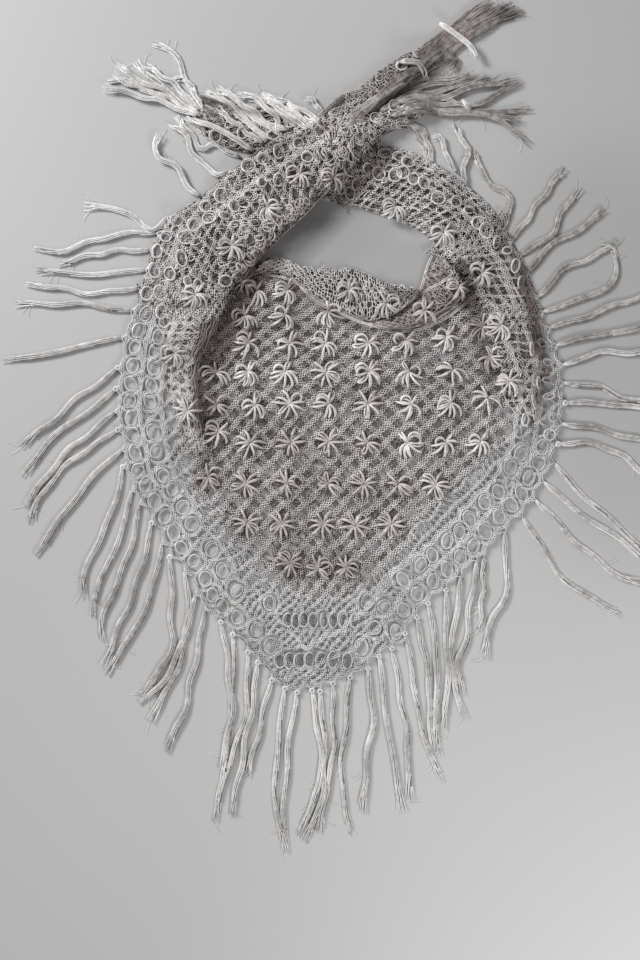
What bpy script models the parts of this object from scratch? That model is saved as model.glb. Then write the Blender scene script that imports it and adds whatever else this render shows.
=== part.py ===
"""A fringed lace shawl, laid flat with its two ends crossed above the neck.

The shawl is one triangle of lace. It lies on a floor as a kerchief: the point at the front,
the long top edge folded down at the neck, and the two ends carried round the neck gap, the
left one over the right one. The lace has round flowers made of yarn loops, two rows of yarn
rings along the two slanted edges, and a tassel at each point of its scalloped edge.

Places are counted on a squared chart, column to the right and row towards the viewer, and
one square is SQUARE metres. The chart's reference flower is over the origin, which lies in
the lace's flat underside. +Y points from the front tip to the neck and +Z points up.
"""

import math

import bmesh
import bpy
from mathutils import Vector

SQUARE = 0.0013
REFERENCE_COLUMN = 328
REFERENCE_ROW = 404

WALL = 0.002
SEAM_GAP = 0.0003
LAYER_BASE = WALL + SEAM_GAP

FLOWER_RADIUS = 0.0172
FLOWER_NOTCH = 0.0068
FLOWER_PETALS = 10
FLOWER_TURN = 0.16
PETAL_CREST_AT = 0.62
PETAL_CREST = 0.0065
FLOWER_CENTRE = 0.0030

RING_HOLE_RADIUS = 0.0070
RING_HOLE_SIDES = 6
RING_HOLE_TURN = 0.5
RING_STEP = 0.0243
CROWDED_RING_HOLE = (0.0046, 0.0078)
CROWDED_RING_STEP = 0.0124

# The open diamonds of the net: half width and half height.
SIDE_GAP = (0.0088, 0.0080)
SIDE_GAP_OFFSET = 0.25
SIDE_GAP_PITCH = 34
SIDE_GAP_FIRST_ROW = 330
UNDER_GAP = (0.0048, 0.0045)
UNDER_GAP_PITCH = 38
UNDER_GAP_DRIFT = 9

STRIP_WIDTH = 0.003
STRIP_HEIGHT = 0.002
STRAND_WIDTH = 0.0062
STRAND_HEIGHT = 0.0032
STRIP_LIFT = 0.0004
STRAND_LIFT = 0.0006
STRAND_PIECES = 5
STRAND_ROOT_SHARE = 0.3
STRAND_TAPER = 0.25
END_STRAND_WIDTH = 0.0042

MERGE_DISTANCE = 1e-7

YARN = {
    "lace": ((0.50, 0.46, 0.45), 0.55),
    "folded_lace": ((0.40, 0.35, 0.34), 0.60),
    "tassels": ((0.58, 0.55, 0.54), 0.45),
}

# Each tassel's knot on the scalloped edge, a place half way along it, and its free end.
# columns: knot column, knot row, middle column, middle row, end column, end row
TASSELS = {
    "fringe_left_top": [
        (168, 217, 128, 212, 84, 206),
        (157, 233, 115, 231, 46, 250),
        (150, 250, 104, 253, 58, 265),
        (146, 270, 98, 274, 35, 273),
        (139, 288, 92, 293, 26, 288),
    ],
    "fringe_left": [
        (131, 311, 96, 311, 15, 304),
        (122, 338, 85, 344, 2, 360),
        (118, 368, 72, 404, 20, 447),
        (116, 389, 70, 428, 24, 477),
        (115, 412, 62, 455, 28, 508),
        (118, 430, 84, 464, 30, 528),
        (122, 450, 86, 492, 36, 556),
        (123, 467, 101, 530, 83, 598),
    ],
    "fringe_lower_left": [
        (132, 491, 113, 551, 92, 617),
        (140, 504, 127, 560, 101, 641),
        (152, 523, 140, 575, 111, 660),
        (162, 544, 152, 600, 122, 677),
        (170, 557, 168, 625, 141, 697),
        (184, 572, 181, 640, 151, 722),
        (196, 595, 192, 655, 164, 738),
        (205, 610, 205, 670, 177, 752),
    ],
    "fringe_bottom_left": [
        (221, 622, 222, 690, 206, 775),
        (233, 634, 233, 703, 219, 787),
        (248, 652, 246, 722, 230, 822),
        (258, 662, 256, 727, 243, 814),
        (272, 680, 265, 735, 255, 777),
        (285, 688, 277, 770, 281, 852),
        (297, 692, 292, 768, 293, 845),
    ],
    "fringe_bottom_right": [
        (312, 690, 308, 765, 303, 836),
        (320, 691, 322, 765, 315, 842),
        (333, 683, 336, 760, 327, 830),
        (350, 677, 347, 768, 350, 834),
        (368, 668, 371, 740, 364, 812),
        (379, 656, 389, 738, 397, 811),
        (392, 648, 404, 735, 412, 801),
        (405, 633, 418, 720, 437, 784),
    ],
    "fringe_lower_right": [
        (417, 617, 429, 688, 444, 757),
        (428, 603, 438, 670, 454, 744),
        (446, 590, 450, 665, 464, 730),
        (461, 576, 464, 650, 474, 717),
        (477, 560, 475, 635, 483, 695),
        (484, 556, 486, 605, 490, 662),
        (505, 531, 507, 590, 500, 656),
    ],
    "fringe_right": [
        (522, 516, 573, 584, 622, 616),
        (535, 500, 596, 562, 650, 600),
        (543, 482, 600, 534, 662, 580),
        (554, 463, 598, 508, 668, 560),
        (558, 444, 604, 452, 682, 500),
        (562, 424, 606, 431, 694, 461),
        (565, 403, 614, 410, 702, 430),
        (563, 383, 610, 391, 700, 404),
        (563, 365, 606, 350, 700, 345),
    ],
    "fringe_right_top": [
        (557, 345, 604, 329, 694, 308),
        (550, 328, 600, 308, 686, 282),
        (543, 312, 594, 291, 613, 263),
        (538, 297, 567, 263, 622, 240),
        (528, 272, 558, 240, 604, 209),
        (521, 255, 549, 232, 580, 187),
        (512, 240, 540, 205, 565, 168),
        (505, 226, 511, 200, 497, 174),
    ],
}

# Short tassels of the two crossed ends. Their strip lies along an edge of a folded stretch.
# columns: place along the strip from 0 to 1, middle column, middle row, end column, end row
END_TASSELS = {
    "fringe_left_shoulder": [
        (0.06, 166, 170, 160, 136),
        (0.48, 186, 158, 171, 126),
        (0.92, 212, 152, 187, 138),
    ],
    "fringe_left_end": [
        (0.06, 455, 20, 484, 3),
        (0.28, 466, 22, 504, 4),
        (0.50, 475, 26, 520, 10),
        (0.72, 480, 32, 513, 20),
        (0.94, 476, 42, 498, 32),
    ],
    "fringe_left_end_low": [
        (0.06, 450, 78, 478, 74),
        (0.28, 462, 86, 497, 79),
        (0.50, 470, 96, 521, 84),
        (0.72, 478, 106, 531, 108),
        (0.94, 482, 118, 528, 140),
    ],
    "fringe_right_end": [
        (0.06, 178, 72, 155, 45),
        (0.28, 160, 79, 130, 60),
        (0.50, 155, 86, 117, 69),
        (0.72, 150, 94, 106, 82),
        (0.94, 148, 103, 108, 94),
    ],
    "fringe_right_end_top": [
        (0.04, 300, 103, 282, 92),
        (0.20, 274, 99, 252, 89),
        (0.44, 254, 96, 234, 87),
        (0.70, 232, 94, 214, 85),
        (0.96, 208, 92, 196, 78),
    ],
    "fringe_right_shoulder": [
        (0.20, 484, 168, 472, 148),
        (0.44, 462, 152, 452, 126),
        (0.66, 446, 148, 436, 133),
        (0.86, 432, 140, 418, 132),
    ],
}

# The line of the rows of yarn rings, between the tassel knots and the flowers.
# columns: column, row
OUTER_RINGS_LEFT = [
    (146, 317), (136, 342), (131, 370), (129, 403), (132, 436),
    (148, 481), (177, 534), (211, 582), (232, 607), (262, 638),
]
OUTER_RINGS_RIGHT = [
    (552, 414), (547, 437), (533, 469), (508, 501), (480, 528),
    (451, 560), (423, 583), (398, 611), (360, 645),
]
INNER_RINGS_LEFT = [
    (159, 352), (156, 384), (156, 412), (156, 440), (177, 468),
    (188, 502), (211, 528), (230, 558), (254, 578), (277, 602),
]
INNER_RINGS_RIGHT = [
    (514, 437), (504, 464), (488, 482), (466, 508),
    (438, 537), (412, 560), (386, 584), (366, 606),
]

# Rows of narrow rings round the front tip.
# columns: row, first column, last column
CROWDED_RINGS = [(619, 296, 346), (660, 286, 343)]

# Rows of flowers on the front.
# columns: row, columns of the flowers
FLOWER_ROWS = [
    (292, (257, 285)),
    (317, (245, 285, 327)),
    (344, (248, 288, 325, 368, 405, 446, 473)),
    (373, (216, 248, 286, 327, 368, 409, 451, 486)),
    (404, (218, 254, 290, 328, 368, 411, 449, 487)),
    (443, (250, 291, 329, 367, 408, 445, 480)),
    (484, (210, 246, 287, 328, 364, 398, 435)),
    (524, (247, 282, 321, 356, 391)),
    (566, (290, 318, 346)),
]

# The front's edge at the neck gap, between the two folded shoulders.
# columns: column, row
NECK_EDGE = [
    (268, 259.5), (285, 258.5), (300, 265.5), (316, 268.5), (332, 270.5), (350, 268.5), (368, 274.5),
    (385, 282.5), (402, 285.5), (420, 288), (445, 290), (468, 294),
]
FRONT_MEETS_LEFT_WING = 4
FRONT_MEETS_RIGHT_WING = 3

# At the crossing the left wing's underside rests on the right tail.
CROSSING_LIFT = 0.009
UNDER_CROSSING = CROSSING_LIFT - SEAM_GAP

# Folded stretches. Each row is one section, from the outer edge to the inner edge of the fold.
# columns: outer column, outer row, inner column, inner row, base, crown
LEFT_WING = [
    (136.4, 303.2, 225.6, 303.2, 0.0, 0.015),
    (141, 288, 236, 288, 0.0, 0.016),
    (147.6, 270, 248, 272, 0.0, 0.017),
    (151.8, 250.6, 261, 258, 0.0, 0.017),
    (158.8, 233.9, 274, 244, 0.0, 0.017),
    (169.5, 218.5, 287, 231, 0.0, 0.016),
    (200, 198, 303, 217, 0.0, 0.016),
    (232, 171, 320, 199, CROSSING_LIFT, 0.016),
    (262, 150, 337, 183, CROSSING_LIFT, 0.015),
    (290, 134, 352, 167, CROSSING_LIFT, 0.014),
    (318, 118, 368, 149, CROSSING_LIFT, 0.014),
    (343, 105, 384, 134, 0.0, 0.014),
]
LEFT_TAIL_UPPER = [
    (343.2, 104.9, 362.0, 118.1, 0.0, 0.014),
    (360, 89, 377, 107.3, 0.0, 0.014),
    (376, 74, 392, 95, 0.0, 0.014),
    (400, 58, 413, 77, 0.0, 0.013),
    (430, 43.5, 439, 57, 0.0, 0.008),
]
LEFT_TAIL_LOWER = [
    (362.2, 118.3, 384.1, 133.8, 0.0, 0.014),
    (377.2, 107.5, 397, 129, 0.0, 0.013),
    (394, 97, 411, 122, 0.0, 0.012),
    (408, 92, 422, 116, 0.0, 0.011),
    (426, 94, 434, 108, 0.0, 0.007),
]
RIGHT_WING_LOWER = [
    (543.5, 319.2, 488.5, 319.2, 0.0, 0.012),
    (541.6, 312.4, 485.5, 312.4, 0.0, 0.012),
    (536.6, 297.4, 479, 297, 0.0, 0.013),
    (526.6, 272.9, 465, 275, 0.0, 0.014),
    (519.7, 255.9, 451, 263, 0.0, 0.014),
    (510.8, 241, 441, 254, 0.0, 0.014),
    (503.9, 227.6, 434, 241.6, 0.0, 0.013),
]
RIGHT_WING_UPPER = [
    (503.8, 227.3, 433.9, 241.3, 0.0, 0.013),
    (487, 204, 425, 234, 0.0, 0.013),
    (466, 186, 408, 224, 0.0, 0.012),
    (440, 167, 388, 216, 0.0, 0.011),
    (412, 153, 362, 208, 0.0, 0.010),
    (384, 146, 338, 203, 0.0, 0.008),
]
RIGHT_TAIL = [
    (383.8, 145.8, 337.8, 202.8, 0.0, 0.008),
    (360, 133, 318, 196, 0.0, UNDER_CROSSING),
    (335, 125, 296, 181, 0.0, UNDER_CROSSING),
    (310, 118, 270, 163, 0.0, UNDER_CROSSING),
    (285, 112, 248, 152, 0.0, UNDER_CROSSING),
    (255, 107, 226, 147, 0.0, 0.009),
    (225, 104, 205, 136, 0.0, 0.010),
    (199, 105.5, 191, 117, 0.0, 0.007),
]
LEFT_PLEAT = [
    (169, 303.5, 225.6, 303.5, LAYER_BASE, 0.0125),
    (169, 330, 214, 330, LAYER_BASE, 0.0125),
    (168.5, 355, 202, 355, LAYER_BASE, 0.0115),
    (170, 380, 197, 380, LAYER_BASE, 0.0100),
    (173, 405, 200, 405, LAYER_BASE, 0.0090),
    (183, 430, 204, 430, LAYER_BASE, 0.0070),
    (194, 452, 205, 452, LAYER_BASE, 0.0040),
]
RIGHT_PLEAT = [
    (536, 319.5, 490, 319.5, LAYER_BASE, 0.0095),
    (543, 345, 496, 345, LAYER_BASE, 0.0095),
    (547, 372, 503, 372, LAYER_BASE, 0.0085),
    (541, 395, 505, 398, LAYER_BASE, 0.0070),
    (538, 420, 524, 422, LAYER_BASE, 0.0040),
]
NECK_ROLL = [
    (265, 261.5, 254, 273.5, LAYER_BASE, 0.0080),
    (285, 259.5, 282, 273, LAYER_BASE, 0.0085),
    (300, 266.5, 297, 282, LAYER_BASE, 0.0090),
    (316, 269.5, 313, 295, LAYER_BASE, 0.0090),
    (332, 271.5, 330, 304, LAYER_BASE, 0.0090),
    (350, 269.5, 350, 313, LAYER_BASE, 0.0090),
    (368, 275.5, 370, 320, LAYER_BASE, 0.0085),
    (385, 283.5, 388, 316, LAYER_BASE, 0.0085),
    (402, 286.5, 403, 308, LAYER_BASE, 0.0080),
    (418, 288.5, 418, 296, LAYER_BASE, 0.0060),
]
TWIST_BAND = [
    (374, 321.5, 379, 329.5, LAYER_BASE, 0.0060),
    (388, 318.3, 394, 329.5, LAYER_BASE, 0.0085),
    (404, 310.5, 418, 326.5, LAYER_BASE, 0.0100),
    (420, 297.5, 440, 318, LAYER_BASE, 0.0105),
    (425, 285, 455, 304, LAYER_BASE, 0.0105),
    (426, 270, 463, 287, LAYER_BASE, 0.0105),
    (430, 250, 445, 262, 0.0, 0.0090),
]

# The folded cloth's cross-section: across from its outer to its inner edge, and up to its crown.
# It is thin at the outer edge, where one layer lies nearly flat, and steep at the inner fold.
# The short level steps are the ends of the hidden layers.
FOLD_SECTION = [
    (0.0, 0.0), (0.0, 0.16), (0.03, 0.18), (0.11, 0.34), (0.22, 0.60), (0.38, 0.88), (0.58, 1.0),
    (0.80, 0.95), (0.93, 0.78), (0.965, 0.52), (1.0, 0.46), (1.0, 0.0),
]

# The edge that each short row of tassels is sewn to: the stretch, and its first and last section.
# One section alone stands for the end of the stretch.
TASSEL_SEATS = {
    "fringe_left_shoulder": (LEFT_WING, 6, 7),
    "fringe_left_end": (LEFT_TAIL_UPPER, 4, 4),
    "fringe_left_end_low": (LEFT_TAIL_LOWER, 4, 4),
    "fringe_right_end": (RIGHT_TAIL, 7, 7),
    "fringe_right_end_top": (RIGHT_TAIL, 3, 6),
    "fringe_right_shoulder": (RIGHT_WING_UPPER, 1, 4),
}

# Flowers that show on the folded stretches.
# columns: column, row, height of the cloth there
FOLD_FLOWERS = {
    "left_wing": [(231, 247, 0.0155), (196, 285, 0.0145), (268, 209, 0.0150), (325, 152, 0.0215)],
    "left_pleat": [(195, 322, 0.0138), (184, 352, 0.0128)],
    "right_wing_lower": [(496, 292, 0.0120), (478, 256, 0.0125)],
    "right_wing_upper": [(443, 226, 0.0090), (397, 203, 0.0090)],
    "right_pleat": [(512, 348, 0.0108)],
    "neck_roll": [(348, 289, 0.0106), (387, 300, 0.0100)],
}


def chart_point(column, row, height=0.0):
    """A place on the chart as a point in metres."""
    return Vector(((column - REFERENCE_COLUMN) * SQUARE, (REFERENCE_ROW - row) * SQUARE, height))


def clear_scene():
    for item in list(bpy.data.objects):
        bpy.data.objects.remove(item)


def collection_named(name):
    made = bpy.data.collections.new(name)
    bpy.context.scene.collection.children.link(made)
    return made


def yarn_material(piece, kind):
    colour, roughness = YARN[kind]
    material = bpy.data.materials.new(piece + "_" + kind)
    material.use_nodes = True
    shader = material.node_tree.nodes["Principled BSDF"]
    shader.inputs["Base Color"].default_value = (*colour, 1.0)
    shader.inputs["Roughness"].default_value = roughness
    shader.inputs["Metallic"].default_value = 0.0
    return material


def object_from(bm, name, collection, material=None):
    mesh = bpy.data.meshes.new(name)
    bm.to_mesh(mesh)
    bm.free()
    made = bpy.data.objects.new(name, mesh)
    collection.objects.link(made)
    if material is not None:
        mesh.materials.append(material)
    return made


def fuse(body, addition):
    """The addition becomes part of the body, and its own object is only a helper."""
    union = body.modifiers.new("fuse", "BOOLEAN")
    union.operation = "UNION"
    union.solver = "EXACT"
    union.object = addition
    addition.hide_render = True
    addition.display_type = "WIRE"


def loft(bm, sections):
    """A closed skin over sections that have the same number of points, with both ends filled."""
    around = len(sections[0])
    grid = bmesh.ops.create_grid(bm, x_segments=around, y_segments=len(sections) - 1, size=1.0)
    for index, vertex in enumerate(grid["verts"]):
        station, step = divmod(index, around + 1)
        vertex.co = sections[station][step % around]
    bmesh.ops.remove_doubles(bm, verts=grid["verts"], dist=MERGE_DISTANCE)
    open_edges = [edge for edge in bm.edges if edge.is_boundary]
    bmesh.ops.holes_fill(bm, edges=open_edges, sides=0)


def inset_line(points, distance):
    """The line moved to the left of its own direction, with mitred corners."""
    moved = []
    for index, point in enumerate(points):
        before = points[max(index - 1, 0)]
        after = points[min(index + 1, len(points) - 1)]
        first = (point - before).normalized() if index else (after - point).normalized()
        second = (after - point).normalized() if index < len(points) - 1 else first
        normals = [Vector((-way.y, way.x, 0.0)).normalized() for way in (first, second)]
        middle = (normals[0] + normals[1]).normalized()
        moved.append(point + middle * distance / max(middle.dot(normals[0]), 0.5))
    return moved


def line_lengths(points):
    """How far each point lies along the line."""
    lengths = [0.0]
    for before, after in zip(points, points[1:]):
        lengths.append(lengths[-1] + (after - before).length)
    return lengths


def place_along(points, share):
    """The place at a share of the line's length."""
    lengths = line_lengths(points)
    wanted = lengths[-1] * share
    index = max(i for i, length in enumerate(lengths[:-1]) if length <= wanted)
    part = (wanted - lengths[index]) / (lengths[index + 1] - lengths[index])
    return points[index].lerp(points[index + 1], part)


def along(points, step):
    """Places at an even step along a line of points."""
    count = round(line_lengths(points)[-1] / step)
    return [place_along(points, number / count) for number in range(count + 1)]


def moved_off(line, inside, distance):
    """The line moved away from a point that lies inside the piece it belongs to."""
    way = line[1] - line[0]
    left = Vector((-way.y, way.x, 0.0))
    side = -1.0 if left.dot(inside - line[0]) > 0 else 1.0
    return inset_line(line, side * distance)


def outer_edge(rows):
    return [chart_point(row[0], row[1], row[4]) for row in rows]


def inner_edge(rows):
    return [chart_point(row[2], row[3], row[4]) for row in rows]


def knot_line():
    """The tassel knots in order, down the left edge, round the tip and up the right edge."""
    return [chart_point(row[0], row[1]) for rows in TASSELS.values() for row in rows]


def front_outline():
    """Round the front: its two slanted edges, and its seams with the wings and the neck edge."""
    left_wing = LEFT_WING[:FRONT_MEETS_LEFT_WING]
    left_seam = moved_off(
        outer_edge(left_wing[:1]) + inner_edge(left_wing), outer_edge(left_wing)[1], SEAM_GAP
    )
    right_wing = RIGHT_WING_LOWER[:FRONT_MEETS_RIGHT_WING]
    right_seam = moved_off(
        outer_edge(right_wing[:1]) + inner_edge(right_wing), outer_edge(right_wing)[1], SEAM_GAP
    )
    neck = [chart_point(column, row) for column, row in NECK_EDGE]
    cloth_edge = inset_line(knot_line(), STRIP_WIDTH / 2 + SEAM_GAP)
    left_top, right_top = left_seam[0].y, right_seam[0].y
    slanted = [p for p in cloth_edge if p.y < (left_top if p.x < 0 else right_top) - SEAM_GAP]
    return slanted + right_seam + neck[::-1] + left_seam[::-1]


def loop_edges(bm, points):
    verts = [bm.verts.new(point) for point in points]
    return [bm.edges.new((a, b)) for a, b in zip(verts, verts[1:] + verts[:1])]


def round_hole(centre, radii, sides, turn=0.0):
    angles = [turn + math.tau * i / sides for i in range(sides)]
    return [centre + Vector((radii[0] * math.cos(a), radii[1] * math.sin(a), 0.0)) for a in angles]


def star(centre, radius=FLOWER_RADIUS):
    """A flower's outline: a point at the end of each petal and a notch between two petals."""
    points = []
    for i in range(2 * FLOWER_PETALS):
        reach = radius if i % 2 == 0 else FLOWER_NOTCH
        angle = math.pi * i / FLOWER_PETALS + FLOWER_TURN
        points.append(centre + Vector((reach * math.cos(angle), reach * math.sin(angle), 0.0)))
    return points


def ring_holes():
    holes = []
    even = (RING_HOLE_RADIUS, RING_HOLE_RADIUS)
    for line in (OUTER_RINGS_LEFT, OUTER_RINGS_RIGHT, INNER_RINGS_LEFT, INNER_RINGS_RIGHT):
        for centre in along([chart_point(*place) for place in line], RING_STEP):
            holes.append(round_hole(centre, even, RING_HOLE_SIDES, RING_HOLE_TURN))
    for row, first, last in CROWDED_RINGS:
        for centre in along([chart_point(first, row), chart_point(last, row)], CROWDED_RING_STEP):
            holes.append(round_hole(centre, CROWDED_RING_HOLE, RING_HOLE_SIDES, RING_HOLE_TURN))
    return holes


def side_gaps():
    """The two open diamonds of the net between each flower and the next one in its row."""
    holes = []
    for index, (row, columns) in enumerate(FLOWER_ROWS):
        above = FLOWER_ROWS[max(index - 1, 0)][0]
        below = FLOWER_ROWS[min(index + 1, len(FLOWER_ROWS) - 1)][0]
        for left, right in zip(columns, columns[1:]):
            for other in {above, below} - {row}:
                if right - left > SIDE_GAP_PITCH and row > SIDE_GAP_FIRST_ROW:
                    place = ((left + right) / 2, row + (other - row) * SIDE_GAP_OFFSET)
                    holes.append(round_hole(chart_point(*place), SIDE_GAP, 4))
    return holes


def under_gaps():
    """The smaller open diamond between each flower and the one below it."""
    holes = []
    for (row, columns), (next_row, next_columns) in zip(FLOWER_ROWS, FLOWER_ROWS[1:]):
        for column in columns:
            nearest = min(next_columns, key=lambda other: abs(other - column))
            if next_row - row > UNDER_GAP_PITCH and abs(nearest - column) < UNDER_GAP_DRIFT:
                place = chart_point((column + nearest) / 2, (row + next_row) / 2)
                holes.append(round_hole(place, UNDER_GAP, 4))
    return holes


def raise_flower(bm, outline_edges, centre):
    """Fills a star-shaped hole with petals: each has a crest that stands above the cloth."""
    made = bmesh.ops.contextual_create(bm, geom=outline_edges)
    poked = bmesh.ops.poke(bm, faces=made["faces"])
    middle = poked["verts"][0]
    middle.co = centre
    spokes = [
        edge for edge in middle.link_edges
        if (edge.other_vert(middle).co - centre).length > (FLOWER_RADIUS + FLOWER_NOTCH) / 2
    ]
    crests = []
    for spoke in spokes:
        tip = spoke.other_vert(middle)
        _, crest = bmesh.utils.edge_split(spoke, middle, PETAL_CREST_AT)
        for face in list(crest.link_faces):
            notch = next(vertex for vertex in face.verts if vertex not in (middle, crest, tip))
            bmesh.utils.face_split(face, crest, notch)
        crests.append(crest)
    return middle, crests


def front_panel(collection, material):
    bm = bmesh.new()
    edges = loop_edges(bm, front_outline())
    for hole in ring_holes() + side_gaps() + under_gaps():
        edges += loop_edges(bm, hole)
    stars = []
    for row, columns in FLOWER_ROWS:
        for column in columns:
            centre = chart_point(column, row)
            star_edges = loop_edges(bm, star(centre))
            stars.append((centre, star_edges))
            edges += star_edges
    bmesh.ops.triangle_fill(bm, use_beauty=True, use_dissolve=False, edges=edges, normal=(0, 0, 1))
    raised = [raise_flower(bm, star_edges, centre) for centre, star_edges in stars]
    bmesh.ops.recalc_face_normals(bm, faces=bm.faces)
    top_verts = list(bm.verts)
    bmesh.ops.extrude_face_region(bm, geom=list(bm.faces))
    for vertex in top_verts:
        vertex.co.z = WALL
    for middle, crests in raised:
        middle.co.z = WALL + FLOWER_CENTRE
        for crest in crests:
            crest.co.z = WALL + PETAL_CREST
    bmesh.ops.recalc_face_normals(bm, faces=bm.faces)
    return object_from(bm, "front_panel", collection, material)


def flower_boss(bm, centre):
    """One flower to be fused to a folded stretch: its foot is sunk in the cloth."""
    edges = loop_edges(bm, star(centre))
    middle, crests = raise_flower(bm, edges, centre)
    petals = list({face for vertex in (middle, *crests) for face in vertex.link_faces})
    foot = bmesh.ops.extrude_face_region(bm, geom=petals)
    for item in foot["geom"]:
        if isinstance(item, bmesh.types.BMVert):
            item.co.z -= 2 * WALL
    middle.co.z += FLOWER_CENTRE
    for crest in crests:
        crest.co.z += PETAL_CREST


def folded_stretch(name, rows, collection, material, helpers):
    bm = bmesh.new()
    sections = []
    for outer_column, outer_row, inner_column, inner_row, base, crown in rows:
        outer = chart_point(outer_column, outer_row)
        inner = chart_point(inner_column, inner_row)
        section = []
        for across, up in FOLD_SECTION:
            section.append(outer.lerp(inner, across) + Vector((0, 0, base + up * crown)))
        sections.append(section)
    loft(bm, sections)
    bmesh.ops.recalc_face_normals(bm, faces=bm.faces)
    body = object_from(bm, name, collection, material)
    if name in FOLD_FLOWERS:
        bm = bmesh.new()
        for column, row, height in FOLD_FLOWERS[name]:
            flower_boss(bm, chart_point(column, row, height))
        bmesh.ops.recalc_face_normals(bm, faces=bm.faces)
        fuse(body, object_from(bm, name + "_flowers", helpers))


def edge_strip(bm, points):
    """The narrow backing of a row of tassels, along a line of points."""
    outer = inset_line(points, -STRIP_WIDTH / 2)
    inner = inset_line(points, STRIP_WIDTH / 2)
    low = Vector((0, 0, STRIP_LIFT))
    high = Vector((0, 0, STRIP_HEIGHT))
    loft(bm, [[a + low, b + low, b + high, a + high] for a, b in zip(outer, inner)])


def strand_line(root, middle, end):
    """Places along a smooth curve through three points."""
    control = 2 * middle - (root + end) / 2
    found = []
    for i in range(STRAND_PIECES + 1):
        t = i / STRAND_PIECES
        found.append((1 - t) ** 2 * root + 2 * t * (1 - t) * control + t * t * end)
    return found


def strand(bm, root, middle, end, width):
    """One tassel as a flat three-sided strand that narrows a little to its free end."""
    line = strand_line(root, middle, end)
    sections = []
    for i, point in enumerate(line):
        way = line[min(i + 1, STRAND_PIECES)] - line[max(i - 1, 0)]
        share = STRAND_ROOT_SHARE if i == 0 else 1.0 - STRAND_TAPER * i / STRAND_PIECES
        side = Vector((-way.y, way.x, 0.0)).normalized() * width / 2 * share
        low = Vector((0, 0, STRAND_LIFT))
        high = Vector((0, 0, STRAND_HEIGHT))
        sections.append([point - side + low, point + side + low, point + high])
    loft(bm, sections)


def fringe(name, tassels, strip_line, width, collection, helpers):
    """A strip along the line, with a strand for each tassel: root, middle and end."""
    bm = bmesh.new()
    edge_strip(bm, strip_line)
    bmesh.ops.recalc_face_normals(bm, faces=bm.faces)
    strip = object_from(bm, name, collection, yarn_material(name, "tassels"))
    bm = bmesh.new()
    for root, middle, end in tassels:
        strand(bm, root, middle, end, width)
    bmesh.ops.recalc_face_normals(bm, faces=bm.faces)
    fuse(strip, object_from(bm, name + "_strands", helpers))


def edge_fringe(name, rows, strip_line, collection, helpers):
    tassels = [[chart_point(row[i], row[i + 1]) for i in (0, 2, 4)] for row in rows]
    fringe(name, tassels, strip_line, STRAND_WIDTH, collection, helpers)


def end_fringe(name, rows, collection, helpers):
    """A short row of tassels whose strip lies against the stretch that it is sewn to."""
    stretch, first, last = TASSEL_SEATS[name]
    if first == last:
        seat = outer_edge([stretch[last]]) + inner_edge([stretch[last]])
        inside = inner_edge([stretch[last - 1]])[0]
    else:
        seat = outer_edge(stretch[first:last + 1])
        inside = inner_edge([stretch[first]])[0]
    line = moved_off(seat, inside, STRIP_WIDTH / 2 + SEAM_GAP)
    tassels = []
    for share, middle_column, middle_row, end_column, end_row in rows:
        root = place_along(line, share)
        middle = chart_point(middle_column, middle_row, root.z / 2)
        tassels.append((root, middle, chart_point(end_column, end_row)))
    fringe(name, tassels, line, END_STRAND_WIDTH, collection, helpers)


def strip_lines():
    """The edge line, parted between the groups of tassels."""
    groups = [[chart_point(row[0], row[1]) for row in rows] for rows in TASSELS.values()]
    lines = []
    for index, points in enumerate(groups):
        line = list(points)
        if index:
            before = groups[index - 1][-1]
            way = (line[0] - before).normalized()
            line.insert(0, (before + line[0]) / 2 + way * SEAM_GAP)
        if index < len(groups) - 1:
            after = groups[index + 1][0]
            way = (after - points[-1]).normalized()
            line.append((points[-1] + after) / 2 - way * SEAM_GAP)
        lines.append(line)
    return lines


def main():
    clear_scene()
    shawl = collection_named("lace_shawl")
    helpers = collection_named("fused_helpers")
    front_panel(shawl, yarn_material("front_panel", "lace"))
    stretches = {
        "left_wing": LEFT_WING,
        "left_tail_upper": LEFT_TAIL_UPPER,
        "left_tail_lower": LEFT_TAIL_LOWER,
        "right_wing_lower": RIGHT_WING_LOWER,
        "right_wing_upper": RIGHT_WING_UPPER,
        "right_tail": RIGHT_TAIL,
        "left_pleat": LEFT_PLEAT,
        "right_pleat": RIGHT_PLEAT,
        "neck_roll": NECK_ROLL,
        "twist_band": TWIST_BAND,
    }
    for name, rows in stretches.items():
        folded_stretch(name, rows, shawl, yarn_material(name, "folded_lace"), helpers)
    for (name, rows), line in zip(TASSELS.items(), strip_lines()):
        edge_fringe(name, rows, line, shawl, helpers)
    for name, rows in END_TASSELS.items():
        end_fringe(name, rows, shawl, helpers)


main()
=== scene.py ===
# %% [markdown]
# # A fringed lace shawl, laid flat
# The shawl is one triangle of hand-made lace. Loop flowers are wound on a small loom and
# joined by a net of narrow bands of loops, two rows of yarn rings run along the slanted
# edges, and a tassel hangs at each point of the scalloped edge. It lies as a kerchief: the
# point in front, the long edge folded at the neck, and the two ends crossed behind it.
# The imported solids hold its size. Here every thread of it is drawn.

import math
import random

import bmesh
import bpy
import numpy as np
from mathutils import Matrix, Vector, noise
from mathutils.bvhtree import BVHTree


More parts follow.
